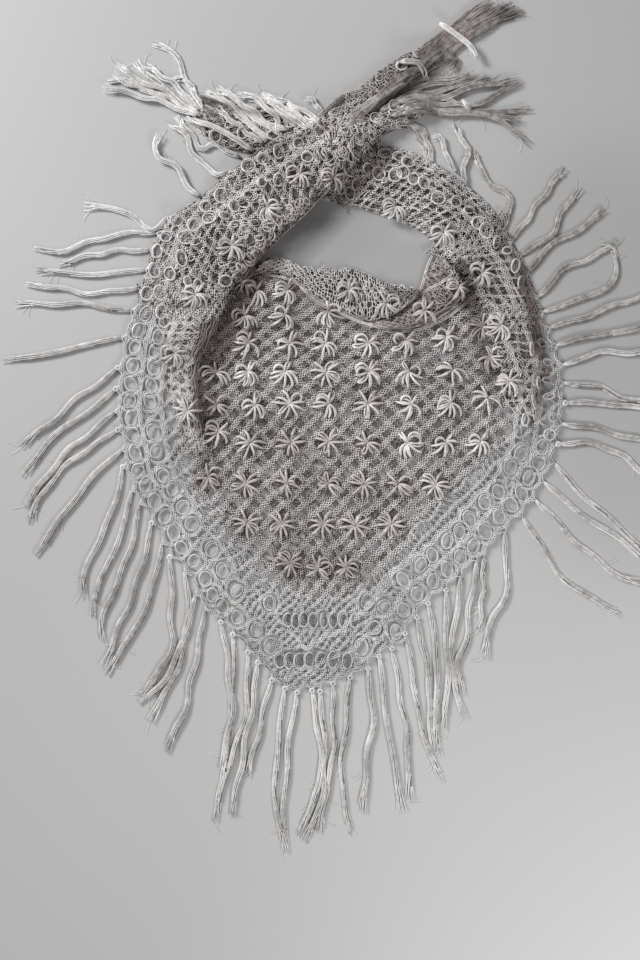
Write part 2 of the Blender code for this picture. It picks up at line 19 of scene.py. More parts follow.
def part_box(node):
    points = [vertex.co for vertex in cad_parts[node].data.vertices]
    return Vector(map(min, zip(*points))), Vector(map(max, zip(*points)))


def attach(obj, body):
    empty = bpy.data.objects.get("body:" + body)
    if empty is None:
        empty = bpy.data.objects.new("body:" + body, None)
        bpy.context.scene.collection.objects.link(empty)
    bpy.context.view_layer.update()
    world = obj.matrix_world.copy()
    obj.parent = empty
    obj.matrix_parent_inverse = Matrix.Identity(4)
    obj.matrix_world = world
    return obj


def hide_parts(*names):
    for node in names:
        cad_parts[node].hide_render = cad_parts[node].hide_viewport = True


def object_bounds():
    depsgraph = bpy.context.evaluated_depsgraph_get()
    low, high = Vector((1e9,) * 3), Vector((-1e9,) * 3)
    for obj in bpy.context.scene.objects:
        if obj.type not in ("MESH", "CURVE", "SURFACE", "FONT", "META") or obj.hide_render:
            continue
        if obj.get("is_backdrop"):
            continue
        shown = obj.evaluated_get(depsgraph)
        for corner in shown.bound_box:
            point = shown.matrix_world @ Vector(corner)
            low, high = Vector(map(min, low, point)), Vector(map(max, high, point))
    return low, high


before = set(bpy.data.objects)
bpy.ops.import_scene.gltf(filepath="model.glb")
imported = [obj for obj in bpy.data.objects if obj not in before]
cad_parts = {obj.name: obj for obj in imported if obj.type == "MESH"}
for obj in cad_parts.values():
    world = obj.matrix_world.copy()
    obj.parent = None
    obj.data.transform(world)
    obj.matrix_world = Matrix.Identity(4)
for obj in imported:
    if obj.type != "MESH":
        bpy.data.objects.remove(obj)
solid_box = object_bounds()
print("nodes in the frame:", len(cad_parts))

# %% [markdown]
# Lace is planned on a squared chart, so places are written as a column to the right and a
# row towards the viewer. One square is 1.3 mm of real lace, and the flower at the chart's
# reference square is over the origin. Only this helper knows how a square becomes metres.
# One seed serves the chance draws and the noise, so that every run gives the same shawl.

# %% The chart
SQUARE = 0.0013
REFERENCE_COLUMN = 328
REFERENCE_ROW = 404
SEED = 11
chance = random.Random(SEED)
noise.seed_set(SEED)
# the noise that shoves threads aside: a wide wave, and a closer one that counts for less
WIDE_WAVE, CLOSE_WAVE = 0.05, 0.16
CLOSE_SHARE = 0.4


def spot(column, row, height=0.0):
    """A place on the chart as a point in metres."""
    return Vector(((column - REFERENCE_COLUMN) * SQUARE, (REFERENCE_ROW - row) * SQUARE, height))


def wander(column, row, reach):
    """A soft shove sideways in squares, alike for threads that lie close together."""
    wide = noise.noise_vector(Vector((column * WIDE_WAVE, row * WIDE_WAVE, 1.0)))
    close = noise.noise_vector(Vector((column * CLOSE_WAVE, row * CLOSE_WAVE, 5.0)))
    return (wide + close * CLOSE_SHARE) * reach


print("the neck edge starts at", tuple(round(value, 4) for value in spot(268, 259)))

# %% [markdown]
# Deep in a fold the lace gets little light and takes a brown tinge from the yarn round it.
# A render with few bounces loses that, so each vertex keeps a number for how deep it is: one
# in the middle of a hollow, and nought away from them all. The hollows are lines on the chart.
# Where one layer lies over the floor the opposite holds, and dark yarn there is painted
# lighter, so a second number marks those.

# %% How deep a place lies
# columns: the places along a hollow, how far it reaches, and how deep it is
HOLLOWS = [
    (((384, 134), (368, 149), (352, 167), (337, 183), (320, 199), (303, 217), (287, 231),
      (274, 244)), 12, 0.35),
    (((278, 252), (262, 268), (250, 285), (240, 300), (232, 316), (224, 338), (214, 362)), 21, 0.9),
    (((214, 362), (206, 385), (204, 408), (207, 430)), 16, 0.7),
    (((392, 140), (384, 158), (368, 176), (352, 192), (340, 204)), 12, 0.8),
    (((460, 266), (471, 290), (464, 306)), 9, 0.8),
    (((262, 276), (285, 284), (305, 296), (332, 314), (362, 328)), 7, 0.45),
    (((390, 290), (405, 296), (422, 292)), 8, 0.7),
    (((346, 104), (362, 89), (378, 76), (402, 62), (430, 48)), 16, 0.15),
    (((364, 120), (380, 109), (396, 97), (412, 90)), 6, 0.7),
    (((524, 272), (529, 300), (535, 325), (540, 350)), 11, 0.75),
    (((541, 350), (545, 376), (541, 400)), 9, 0.45),
    (((498, 226), (512, 238), (523, 256), (530, 280)), 16, 0.4),
    (((205, 328), (203, 358), (206, 385)), 8, 0.5),
    (((476, 302), (474, 330), (482, 350), (490, 378)), 10, 0.55),
    (((226, 298), (200, 306), (172, 306)), 7, 0.35),
    (((330, 128), (300, 140), (262, 150)), 6, 0.5),
    (((286, 298), (300, 330), (286, 360)), 10, 0.25),
    (((212, 104), (250, 112), (300, 124)), 5, 0.5),
    (((288, 566), (348, 567)), 20, 0.2),
    (((244, 316), (246, 343), (220, 374), (217, 405), (218, 432), (212, 478)), 18, 0.25),
]
# the same columns, with how much lighter the dark yarn is painted there, as light comes through
THIN_PLACES = [
    (((150, 306), (150, 285), (158, 262), (168, 240), (184, 222), (204, 206), (226, 190)), 18, 0.8),
    (((168, 300), (176, 284)), 14, 0.5),
    (((178, 310), (172, 340), (172, 370), (176, 400), (184, 430)), 22, 0.8),
]
# above 1, so that the number holds for some way beside a line before it falls
NEAR_GAIN = 1.3


def eased(share):
    """A share from 0 to 1 with a soft start and end."""
    return share * share * (3 - 2 * share)


def near_lines(places, lines):
    """How close each place is to any of the lines, from 0 to the number that a line holds."""
    found = np.zeros(len(places))
    for line, reach, most in lines:
        nearest = np.full(len(places), np.inf)
        for first, last in zip(np.array(line[:-1], float), np.array(line[1:], float)):
            way = last - first
            share = np.clip(((places - first) @ way) / (way @ way), 0, 1)
            off = places - first - share[:, None] * way
            nearest = np.minimum(nearest, np.hypot(off[:, 0], off[:, 1]))
        near = np.clip(NEAR_GAIN * (1 - nearest / reach), 0, 1)
        found = np.maximum(found, most * eased(near))
    return found


def keep_near(mesh, name, lines):
    """Stores on each vertex of a mesh how close it is to the lines."""
    places = np.empty(len(mesh.vertices) * 3)
    mesh.vertices.foreach_get("co", places)
    places = places.reshape(-1, 3)[:, :2] / SQUARE * (1, -1) + (REFERENCE_COLUMN, REFERENCE_ROW)
    values = near_lines(places, lines)
    mesh.attributes.new(name, "FLOAT", "POINT").data.foreach_set("value", values)


print("hollows:", len(HOLLOWS), "and thin places:", len(THIN_PLACES))

# %% [markdown]
# Yarn is a tube along a line. A curve object with a small polygon as its profile draws
# thousands of tubes at once, and a radius on each point thins a strand where it is pulled
# tight. The result is made a mesh, and its end caps are welded, so that each strand is
# closed. Three sides are enough for a thin strand, because smooth shading rounds it. No
# point is let below its own radius, so nothing sinks into the floor.

# %% Strands of yarn as one mesh
WELD = 1e-6
CHART_STEPS = 6


def add_piece(name, mesh, finish):
    """A mesh as one piece of the shawl, which is all one body."""
    mesh.name = name
    mesh.shade_smooth()
    mesh.materials.append(finish)
    keep_near(mesh, "deep", HOLLOWS)
    keep_near(mesh, "thin", THIN_PLACES)
    piece = bpy.data.objects.new(name, mesh)
    bpy.context.scene.collection.objects.link(piece)
    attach(piece, "root")
    return piece


def strand_profile(thickness, sides):
    """A closed polygon across a strand."""
    outline = bpy.data.curves.new("profile", "CURVE")
    spline = outline.splines.new("POLY")
    spline.points.add(sides - 1)
    for number, point in enumerate(spline.points):
        turn = -math.tau * number / sides
        point.co = (thickness / 2 * math.cos(turn), thickness / 2 * math.sin(turn), 0, 1)
    spline.use_cyclic_u = True
    profile = bpy.data.objects.new("profile", outline)
    bpy.context.scene.collection.objects.link(profile)
    return profile


def yarn_piece(name, strands, thickness, finish, sides=3):
    """One mesh from many strands, each a list of points, whether it is closed, and its radii."""
    route = bpy.data.curves.new(name, "CURVE")
    route.dimensions = "3D"
    profile = strand_profile(thickness, sides)
    route.bevel_mode = "OBJECT"
    route.bevel_object = profile
    route.use_fill_caps = True
    for points, closed, radii in strands:
        radii = radii or [1.0] * len(points)
        spline = route.splines.new("POLY")
        spline.points.add(len(points) - 1)
        places = []
        for point, radius in zip(points, radii):
            places.extend((point.x, point.y, max(point.z, radius * thickness / 2), 1.0))
        spline.points.foreach_set("co", places)
        spline.points.foreach_set("radius", radii)
        spline.use_cyclic_u = closed
    holder = bpy.data.objects.new(name + "_route", route)
    bpy.context.scene.collection.objects.link(holder)
    graph = bpy.context.evaluated_depsgraph_get()
    mesh = bpy.data.meshes.new_from_object(holder.evaluated_get(graph))
    for helper, data in ((holder, route), (profile, profile.data)):
        bpy.data.objects.remove(helper)
        bpy.data.curves.remove(data)
    bm = bmesh.new()
    bm.from_mesh(mesh)
    bmesh.ops.remove_doubles(bm, verts=bm.verts, dist=WELD)
    bm.to_mesh(mesh)
    bm.free()
    triangles = sum(len(face.vertices) - 2 for face in mesh.polygons)
    print(name, "has", len(strands), "strands and", triangles, "triangles")
    return add_piece(name, mesh, finish)


def smooth_through(points, pieces):
    """A smooth line through the points, with the given number of steps between two of them."""
    found = []
    for index in range(len(points) - 1):
        a, b = points[max(index - 1, 0)], points[index]
        c, d = points[index + 1], points[min(index + 2, len(points) - 1)]
        for step in range(pieces):
            t = step / pieces
            found.append(
                0.5 * ((2 * b) + (c - a) * t + (2 * a - 5 * b + 4 * c - d) * t ** 2
                       + (3 * b - a - 3 * c + d) * t ** 3)
            )
    return found + [points[-1].copy()]


def even_steps(points, step):
    """The line again, with its points an even step apart."""
    lengths = [0.0]
    for before, after in zip(points, points[1:]):
        lengths.append(lengths[-1] + (after - before).length)
    count = max(int(lengths[-1] / step), 1)
    found = []
    index = 0
    for number in range(count + 1):
        wanted = lengths[-1] * number / count
        while index < len(points) - 2 and lengths[index + 1] < wanted:
            index += 1
        span = max(lengths[index + 1] - lengths[index], 1e-9)
        found.append(points[index].lerp(points[index + 1], (wanted - lengths[index]) / span))
    return found


def chart_line(places, step):
    """A smooth line through places of the chart, with its points an even step apart."""
    places = [Vector((column, row, 0)) for column, row in places]
    return even_steps(smooth_through(places, CHART_STEPS), step)


def side_of(line, index, reach=1):
    """The way to the left of a line on the chart, level with one of its points."""
    way = line[min(index + reach, len(line) - 1)] - line[max(index - reach, 0)]
    return Vector((way.y, -way.x, 0)).normalized()


print("a strand of yarn is ready")

# %% [markdown]
# Where the shawl is folded it is a long soft roll of several layers. Each stretch that
# shows is written as a short table: a row is one section across the roll, from its outer
# edge to its inner edge, with the height it starts from and the height of its crown. One
# section serves them all: nearly flat at the outer edge, and steep where the cloth turns under.
# Where the left wing runs on into the flat border, its outer part lies down.

# %% The folded stretches
LAYER = 0.0023
# columns: the outer edge's place, the inner edge's place, and the heights of the base and the crown
STRETCHES = {
    "left_wing": [
        (136.4, 303, 225.6, 303, 0.0, 0.015), (141, 288, 236, 288, 0.0, 0.016),
        (147.6, 270, 248, 272, 0.0, 0.017), (151.8, 250.6, 261, 258, 0.0, 0.017),
        (158.8, 233.9, 274, 244, 0.0, 0.017), (169.5, 218.5, 287, 231, 0.0, 0.016),
        (200, 198, 303, 217, 0.0, 0.016), (232, 171, 320, 199, 0.009, 0.016),
        (262, 150, 337, 183, 0.009, 0.015), (290, 134, 352, 167, 0.009, 0.014),
        (318, 118, 368, 149, 0.009, 0.014), (343, 105, 384, 134, 0.0, 0.014),
    ],
    "left_tail_upper": [
        (343.2, 104.9, 362, 118.1, 0.0, 0.014), (360, 89, 377, 107.3, 0.0, 0.014),
        (376, 74, 392, 95, 0.0, 0.014), (400, 58, 413, 77, 0.0, 0.013),
        (430, 43.5, 439, 57, 0.0, 0.008),
    ],
    "left_tail_lower": [
        (362.2, 118.3, 384.1, 133.8, 0.0, 0.014), (377.2, 107.5, 397, 129, 0.0, 0.013),
        (394, 97, 411, 122, 0.0, 0.012), (408, 92, 422, 116, 0.0, 0.011),
        (426, 94, 434, 108, 0.0, 0.007),
    ],
    "right_wing_lower": [
        (543.5, 319.2, 488.5, 319.2, 0.0, 0.012), (541.6, 312.4, 485.5, 312.4, 0.0, 0.012),
        (536.6, 297.4, 479, 297, 0.0, 0.013), (526.6, 272.9, 465, 275, 0.0, 0.014),
        (519.7, 255.9, 451, 263, 0.0, 0.014), (510.8, 241, 441, 254, 0.0, 0.014),
        (503.9, 227.6, 434, 241.6, 0.0, 0.013),
    ],
    "right_wing_upper": [
        (503.8, 227.3, 433.9, 241.3, 0.0, 0.013), (487, 204, 425, 234, 0.0, 0.013),
        (466, 186, 408, 224, 0.0, 0.012), (440, 167, 388, 216, 0.0, 0.011),
        (412, 153, 362, 208, 0.0, 0.010), (384, 146, 338, 203, 0.0, 0.008),
    ],
    "right_tail": [
        (383.8, 145.8, 337.8, 202.8, 0.0, 0.008), (360, 133, 318, 196, 0.0, 0.0087),
        (335, 125, 296, 181, 0.0, 0.0087), (310, 118, 270, 163, 0.0, 0.0087),
        (285, 112, 248, 152, 0.0, 0.0087), (255, 107, 226, 147, 0.0, 0.009),
        (225, 104, 205, 136, 0.0, 0.010), (199, 105.5, 191, 117, 0.0, 0.007),
    ],
    "left_pleat": [
        (169, 303.5, 225.6, 303.5, LAYER, 0.0125), (169, 330, 214, 330, LAYER, 0.0125),
        (168.5, 355, 202, 355, LAYER, 0.0115), (170, 380, 197, 380, LAYER, 0.0100),
        (173, 405, 200, 405, LAYER, 0.0090), (183, 430, 204, 430, LAYER, 0.0070),
        (194, 452, 205, 452, LAYER, 0.0040),
    ],
    "right_pleat": [
        (536, 319.5, 490, 319.5, LAYER, 0.0095), (543, 345, 496, 345, LAYER, 0.0095),
        (547, 372, 503, 372, LAYER, 0.0085), (541, 395, 505, 398, LAYER, 0.0070),
        (538, 420, 524, 422, LAYER, 0.0040),
    ],
    "neck_roll": [
        (265, 261.5, 254, 273.5, LAYER, 0.0080), (285, 259.5, 282, 273, LAYER, 0.0085),
        (300, 266.5, 297, 282, LAYER, 0.0090), (316, 269.5, 313, 295, LAYER, 0.0090),
        (332, 271.5, 330, 304, LAYER, 0.0090), (350, 269.5, 350, 313, LAYER, 0.0090),
        (368, 275.5, 370, 320, LAYER, 0.0085), (385, 283.5, 388, 316, LAYER, 0.0085),
        (402, 286.5, 403, 308, LAYER, 0.0080), (418, 288.5, 418, 296, LAYER, 0.0060),
    ],
    "twist_band": [
        (374, 321.5, 379, 329.5, LAYER, 0.0060), (388, 318.3, 394, 329.5, LAYER, 0.0085),
        (404, 310.5, 418, 326.5, LAYER, 0.0100), (420, 297.5, 440, 318, LAYER, 0.0105),
        (425, 285, 455, 304, LAYER, 0.0105), (426, 270, 463, 287, LAYER, 0.0105),
        (438, 252, 447, 262, 0.0, 0.0070),
    ],
}
# a section's line, as shares of its width and of the crown's height
FOLD_SECTION = (
    (0.0, 0.0), (0.0, 0.16), (0.03, 0.20), (0.11, 0.36), (0.22, 0.60), (0.38, 0.88), (0.58, 1.0),
    (0.80, 0.95), (0.93, 0.80), (0.985, 0.52), (1.0, 0.30), (1.0, 0.0),
)
SECTION_RISE = 0.24
SECTION_STEP = 0.02
section = even_steps([Vector((across, SECTION_RISE * up, 0)) for across, up in FOLD_SECTION], SECTION_STEP)
# a stretch whose start lies down: how far along it, and up to which share of its width
LIES_DOWN = {"left_wing": (50.0, 0.5)}
NOT_DOWN = (1e-9, 1.0)
ROW_STEPS = 4
CROWN_WAVE = 0.12
WAVE_SCALE = 0.05


class Stretch:
    """One folded stretch as a surface: along it in squares, and across it from 0 to 1."""

    def __init__(self, name, rows):
        self.run, self.share = LIES_DOWN.get(name, NOT_DOWN)
        self.outer, self.inner, self.heights = (
            smooth_through([Vector((*row[first:first + 2], 0)) for row in rows], ROW_STEPS)
            for first in (0, 2, 4)
        )
        self.places = [0.0]
        middles = [a.lerp(b, 0.5) for a, b in zip(self.outer, self.inner)]
        for before, after in zip(middles, middles[1:]):
            self.places.append(self.places[-1] + (after - before).length)
        self.length = self.places[-1]
        widths = [(a - b).length for a, b in zip(self.outer, self.inner)]
        self.width = sum(widths) / len(widths)

    def at(self, along, across, lift=0.0):
        """A point on the surface, lifted off it by a height in metres."""
        along = min(max(along, 0.0), self.length)
        index = 0
        while index < len(self.places) - 2 and self.places[index + 1] < along:
            index += 1
        span = max(self.places[index + 1] - self.places[index], 1e-9)
        part = (along - self.places[index]) / span
        outer = self.outer[index].lerp(self.outer[index + 1], part)
        inner = self.inner[index].lerp(self.inner[index + 1], part)
        base, crown, _ = self.heights[index].lerp(self.heights[index + 1], part)
        step = min(max(across, 0.0), 1.0) * (len(section) - 1)
        number = min(int(step), len(section) - 2)
        before, after = section[number], section[number + 1]
        place = before.lerp(after, step - number)
        chart = outer.lerp(inner, place.x)
        wave = 1.0 + CROWN_WAVE * noise.noise(Vector((chart.x * WAVE_SCALE, chart.y * WAVE_SCALE, 3.0)))
        fall = (before.y - after.y) / SECTION_RISE * crown
        slope = Vector((fall, (after.x - before.x) * (inner - outer).length * SQUARE, 0)).normalized()
        out = (inner - outer).normalized() * slope.x * lift / SQUARE
        rise = base + place.y / SECTION_RISE * crown * wave
        end, rim = max(1 - along / self.run, 0), max(1 - place.x / self.share, 0)
        rise += (min(rise, LAYER) - rise) * eased(end) * min(rim * 2, 1)
        return spot(chart.x + out.x, chart.y + out.y, rise + lift * slope.y)


stretches = {name: Stretch(name, rows) for name, rows in STRETCHES.items()}
for name, stretch in stretches.items():
    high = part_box(name)[1][2]
    top = max(stretch.at(stretch.length * tick / 20, 0.5).z for tick in range(21))
    print(name, round(stretch.length * SQUARE, 3), "m long, crown", round(top, 4), "in", round(high, 4))

# %% [markdown]
# Materials come next, because each piece takes one as it is made. The yarn is a silky
# viscose: a warm grey with a broad sheen along the strand. Its colour wanders from strand
# to strand, and fine ridges across the surface stand for its twist. A small class lets
# the maths between sockets be written as plain sums.

# %% Shader sums


class Field:
    """A number that varies over a surface. Sums on it add Math nodes."""

    def __init__(self, tree, socket):
        self.tree = tree
        self.socket = socket

    def sum_with(self, operation, other):
        """A Math node on this number and another."""
        node = self.tree.nodes.new("ShaderNodeMath")
        node.operation = operation
        self.tree.links.new(self.socket, node.inputs[0])
        if isinstance(other, Field):
            self.tree.links.new(other.socket, node.inputs[1])
        else:
            node.inputs[1].default_value = other
        return Field(self.tree, node.outputs[0])

    def __add__(self, other):
        return self.sum_with("ADD", other)

    def __mul__(self, other):
        return self.sum_with("MULTIPLY", other)

    __radd__ = __add__
    __rmul__ = __mul__


class Finish:
    """A material with its shader, and short ways to add nodes to it."""

    def __init__(self, name, roughness, sheen=0.0):
        self.material = bpy.data.materials.new(name)
        self.material.use_nodes = True
        self.tree = self.material.node_tree
        self.shader = self.tree.nodes["Principled BSDF"]
        self.shader.inputs["Roughness"].default_value = roughness
        self.shader.inputs["Sheen Weight"].default_value = sheen

    def node(self, kind, settings=None, **sockets):
        """A node of a kind, with its settings and the values or links of its sockets."""
        made = self.tree.nodes.new("ShaderNode" + kind)
        for key, value in (settings or {}).items():
            setattr(made, key, value)
        for key, value in sockets.items():
            socket = made.inputs[key.replace("_", " ")]
            if isinstance(value, Field):
                self.tree.links.new(value.socket, socket)
            elif isinstance(value, bpy.types.NodeSocket):
                self.tree.links.new(value, socket)
            else:
                socket.default_value = value
        return made

    def speckle(self, scale, detail=2.0):
        """Noise that stays with the piece."""
        place = self.node("TexCoord").outputs["Object"]
        made = self.node("TexNoise", Vector=place, Scale=scale, Detail=detail)
        return Field(self.tree, made.outputs["Fac"])

    def kept(self, name):
        """A number that the mesh keeps on its vertices."""
        return self.node("Attribute", {"attribute_name": name}).outputs["Fac"]

    def ramp(self, field, *stops):
        """A tone between two stops, each a position and a colour."""
        made = self.node("ValToRGB", Fac=field)
        for element, (position, colour) in zip(made.color_ramp.elements, stops):
            element.position = position
            element.color = (*colour, 1.0)
        return made.outputs["Color"]

    def mix(self, way, share, first, second):
        """Two tones blended in a way, by a share of the second."""
        made = self.node("MixRGB", {"blend_type": way}, Fac=share, Color1=first, Color2=second)
        return made.outputs["Color"]

    def feed(self, name, value):
        """Links a value to a socket of the shader."""
        socket = value.socket if isinstance(value, Field) else value
        self.tree.links.new(socket, self.shader.inputs[name])

    def bump(self, field, strength, distance):
        """Ridges on the surface, without changing its shape."""
        made = self.node("Bump", Height=field, Strength=strength, Distance=distance)
        self.feed("Normal", made.outputs["Normal"])


print("shader sums are ready")

# %% [markdown]
# One recipe makes all the yarns: a dark and a light tone with noise between them, coarse
# noise for patches and fine noise for single strands. The edges and the tassels are
# brightest, and deep in the folds every yarn darkens to a mauve-brown.

# %% Yarn finishes
PATCH_SCALE = 14.0
STRAND_SCALE = 150.0
TWIST_SCALE = 900.0
TWIST_BUMP = (0.2, 0.0003)
# how much noise gives the dark tone and how much the light one
DARK_AT, LIGHT_AT = 0.36, 0.60
ROUGHNESS_SPREAD = 0.2
DEEP_TINT = (0.22, 0.165, 0.15, 1.0)
# painted light: the tone that dark yarn takes where one layer lies over the floor
LIGHT_THROUGH_TONE = (0.31, 0.305, 0.30, 1.0)


def yarn_finish(name, dark, light, roughness, sheen=0.2, mottle=0.6, lit_where_thin=False):
    """A yarn between two tones. Mottle is the share of fine noise; some are painted lighter where thin."""
    finish = Finish(name, roughness, sheen)
    patches = finish.speckle(PATCH_SCALE)
    single = finish.speckle(STRAND_SCALE, 3.0)
    tone = finish.ramp(patches * (1 - mottle) + single * mottle, (DARK_AT, dark), (LIGHT_AT, light))
    if lit_where_thin:
        tone = finish.mix("MIX", finish.kept("thin"), tone, LIGHT_THROUGH_TONE)
    finish.feed("Base Color", finish.mix("MULTIPLY", finish.kept("deep"), tone, DEEP_TINT))
    finish.feed("Roughness", single * ROUGHNESS_SPREAD + (roughness - ROUGHNESS_SPREAD / 2))
    finish.bump(finish.speckle(TWIST_SCALE, 1.0), *TWIST_BUMP)
    return finish.material


FLOWER_YARN = yarn_finish("flower_yarn", (0.50, 0.462, 0.455), (0.92, 0.885, 0.875), 0.34, 0.3)
# painted shade: a darker copy of the flower yarn, for loops and flowers in shade
SHADED_FLOWER_YARN = yarn_finish("shaded_flower_yarn", (0.37, 0.325, 0.32), (0.76, 0.70, 0.69), 0.36, 0.3)
NET_YARN = yarn_finish("net_yarn", (0.52, 0.487, 0.475), (0.95, 0.918, 0.908), 0.45)
EDGE_YARN = yarn_finish("edge_yarn", (0.68, 0.665, 0.655), (0.98, 0.97, 0.96), 0.42)
RING_YARN = yarn_finish("ring_yarn", (0.50, 0.485, 0.48), (0.90, 0.89, 0.885), 0.38)
# painted shade: the near-black yarn behind rows of loops, for their dark holes
HOLE_SHADE_YARN = yarn_finish("hole_shade_yarn", (0.030, 0.025, 0.024), (0.10, 0.088, 0.084), 0.8, 0.0)
# painted shade behind the border's loops, lighter than that of the holes
SHADE_YARN = yarn_finish("shade_yarn", (0.07, 0.066, 0.064), (0.20, 0.192, 0.188), 0.7, 0.0)
# painted shade: mid grey inside the crowded rings and behind the loops round the rings
MIST_YARN = yarn_finish("mist_yarn", (0.30, 0.29, 0.285), (0.52, 0.51, 0.50), 0.6, 0.1)
# painted shade: dark yarn under the net, in the folds' layers and behind their rings
UNDER_YARN = yarn_finish("under_yarn", (0.10, 0.083, 0.079), (0.28, 0.25, 0.24), 0.6, lit_where_thin=True)
FOLD_YARN = yarn_finish("fold_yarn", (0.40, 0.365, 0.36), (0.78, 0.745, 0.735), 0.34, 0.3)
# painted shade: the darker, browner yarns where the cloth turns under
INNER_YARN = yarn_finish("inner_yarn", (0.20, 0.165, 0.16), (0.52, 0.465, 0.455), 0.5, 0.3)
PLEAT_YARN = yarn_finish("pleat_yarn", (0.36, 0.31, 0.30), (0.60, 0.535, 0.525), 0.6, 0.2)
# painted shade: darker nets inside the twisted part and on the upper tail
TWIST_SHADE_YARN = yarn_finish("twist_shade_yarn", (0.30, 0.262, 0.255), (0.66, 0.61, 0.60), 0.5, 0.3)
TAIL_SHADE_YARN = yarn_finish("tail_shade_yarn", (0.36, 0.33, 0.322), (0.71, 0.675, 0.665), 0.45, 0.3)
# painted light: the paler net of the left wing, near the light
PALE_YARN = yarn_finish("pale_yarn", (0.61, 0.58, 0.57), (0.97, 0.945, 0.935), 0.44)
CORD_YARN = yarn_finish("cord_yarn", (0.50, 0.465, 0.455), (0.86, 0.82, 0.81), 0.4, 0.3)
TASSEL_YARN = yarn_finish("tassel_yarn", (0.54, 0.525, 0.51), (0.97, 0.955, 0.94), 0.30, 0.5, 0.35)
BRIGHT_YARN = yarn_finish("bright_yarn", (0.58, 0.565, 0.555), (0.97, 0.96, 0.95), 0.34, 0.4, 0.35)
# painted shade: the dark strand on each tassel's side away from the light
LEE_SHADE_YARN = yarn_finish("lee_shade_yarn", (0.14, 0.13, 0.124), (0.30, 0.286, 0.278), 0.6, 0.1)
DIM_YARN = yarn_finish("dim_yarn", (0.42, 0.40, 0.39), (0.88, 0.86, 0.845), 0.32, 0.45, 0.45)
# a darker tassel yarn, for the upper right tassels
DARKER_TASSEL_YARN = yarn_finish("darker_tassel_yarn", (0.34, 0.318, 0.305), (0.75, 0.725, 0.705), 0.36, 0.4, 0.5)
GREY_YARN = yarn_finish("grey_yarn", (0.26, 0.235, 0.225), (0.60, 0.57, 0.555), 0.42, 0.3, 0.5)
# painted shade: the darkest tassel yarn, at the left end and on the right tail's roots
ENDS_SHADE_YARN = yarn_finish("ends_shade_yarn", (0.13, 0.108, 0.10), (0.42, 0.38, 0.365), 0.42, 0.3, 0.5)
LAYER_CLOTH = yarn_finish("layer_cloth", (0.045, 0.035, 0.033), (0.19, 0.162, 0.156), 0.8, lit_where_thin=True)
print("yarn finishes:", len(bpy.data.materials))

# %% [markdown]
# The hidden layers inside each fold are one thin sheet just under the threads. It starts as
# a grid that is moved onto the stretch's own surface, and it is dark, because almost no
# light reaches the inside of a fold. Later pieces are laid on these sheets: a ray from
# above finds how high the cloth is at a place of the chart.

# %% Sheets inside the folds
SHEET_DEPTH = -0.0012
SHEET_STEP = 4.0
SHEET_ACROSS = 20
SHEET_FLOOR = 0.0003
NET_HEIGHT = 0.0030
ARC_OVER_WIDTH = 1.18
RIPPLE_HEIGHT = 0.0010
RIPPLE_SCALE = 0.045
RAY_START = 0.2
NEXT_TO = ((0, 0), (3, 0), (-3, 0), (0, 3), (0, -3))
ON_FRONT = ("left_pleat", "right_pleat", "neck_roll", "twist_band")


def fold_sheet(name, stretch):
    """The layers of one stretch as a sheet, and a tree that finds places on it."""
    columns = max(int(stretch.length / SHEET_STEP), 4)
    bm = bmesh.new()
    bmesh.ops.create_grid(bm, x_segments=columns, y_segments=SHEET_ACROSS, size=1.0)
    for vertex in bm.verts:
        along = (vertex.co.x + 1) / 2 * stretch.length
        vertex.co = stretch.at(along, (vertex.co.y + 1) / 2, SHEET_DEPTH)
        vertex.co.z = max(vertex.co.z, SHEET_FLOOR)
    bmesh.ops.recalc_face_normals(bm, faces=bm.faces)
    mesh = bpy.data.meshes.new(name + "_layers")
    bm.to_mesh(mesh)
    tree = BVHTree.FromBMesh(bm)
    bm.free()
    piece = add_piece(name + "_layers", mesh, LAYER_CLOTH)
    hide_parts(name)
    ["front_net"] if name in ON_FRONT else ["floor"]
    return tree


trees = [fold_sheet(name, stretch) for name, stretch in stretches.items()]


def ripple(column, row):
    """The soft unevenness of a thin net on a floor."""
    return RIPPLE_HEIGHT * noise.noise(Vector((column * RIPPLE_SCALE, row * RIPPLE_SCALE, 7.0)))


def lay(column, row, lift=0.0, ground=NET_HEIGHT):
    """A point of the chart on top of the cloth, and the way the cloth faces there."""
    start = spot(column, row, RAY_START)
    best, facing = ground + ripple(column, row), Vector((0, 0, 1))
    for tree in trees:
        hit, normal, _, _ = tree.ray_cast(start, Vector((0, 0, -1)))
        if hit is not None and hit.z - SHEET_DEPTH > best:
            best, facing = hit.z - SHEET_DEPTH, normal if normal.z > 0 else -normal
    facing = (facing + Vector((0, 0, 1))).normalized()
    return spot(column, row, best) + facing * lift, facing


def draped(column, row, lift):
    """The point alone."""
    return lay(column, row, lift)[0]


def bridged(column, row, lift):
    """The same over a seam, where the cloth next to it holds a thread up."""
    height = max(lay(column + off, row + down)[0].z for off, down in NEXT_TO)
    return spot(column, row, height + lift)


print("sheets inside the folds:", len(trees))

# %% [markdown]
# The net is made of narrow bands, each two rows of tiny loops side by side. A row of loops
# is drawn as two threads that swing apart and meet again, over and over. Behind each row
# runs the thread of the stitch's own back in a near-black yarn, painted shade that gives the
# loops their dark dots.
# A helper lays such a band along any route, so the front, the folds and the border share it.

# %% Bands of loops
LOOP_STEP = 3.9
FINE_STEP = 3.0
# half the width of a band: over the front, of a single row, and of the border's pairs of rows
HALF_BAND = 2.7
FINE_BAND = 3.0
SLIM_BAND = 2.3
PINCH = 0.1
SWINGS = (0.75, 1.25)
UNEVEN = 0.0005
BACK_EVERY = 4
THREAD = 0.00112
BACK_THREAD = 0.0021
FINE_BACK = 0.0017
BACK_DEPTH = -0.0013
TWO_ROWS, ONE_ROW = (-0.5, 0.5), (0.0,)


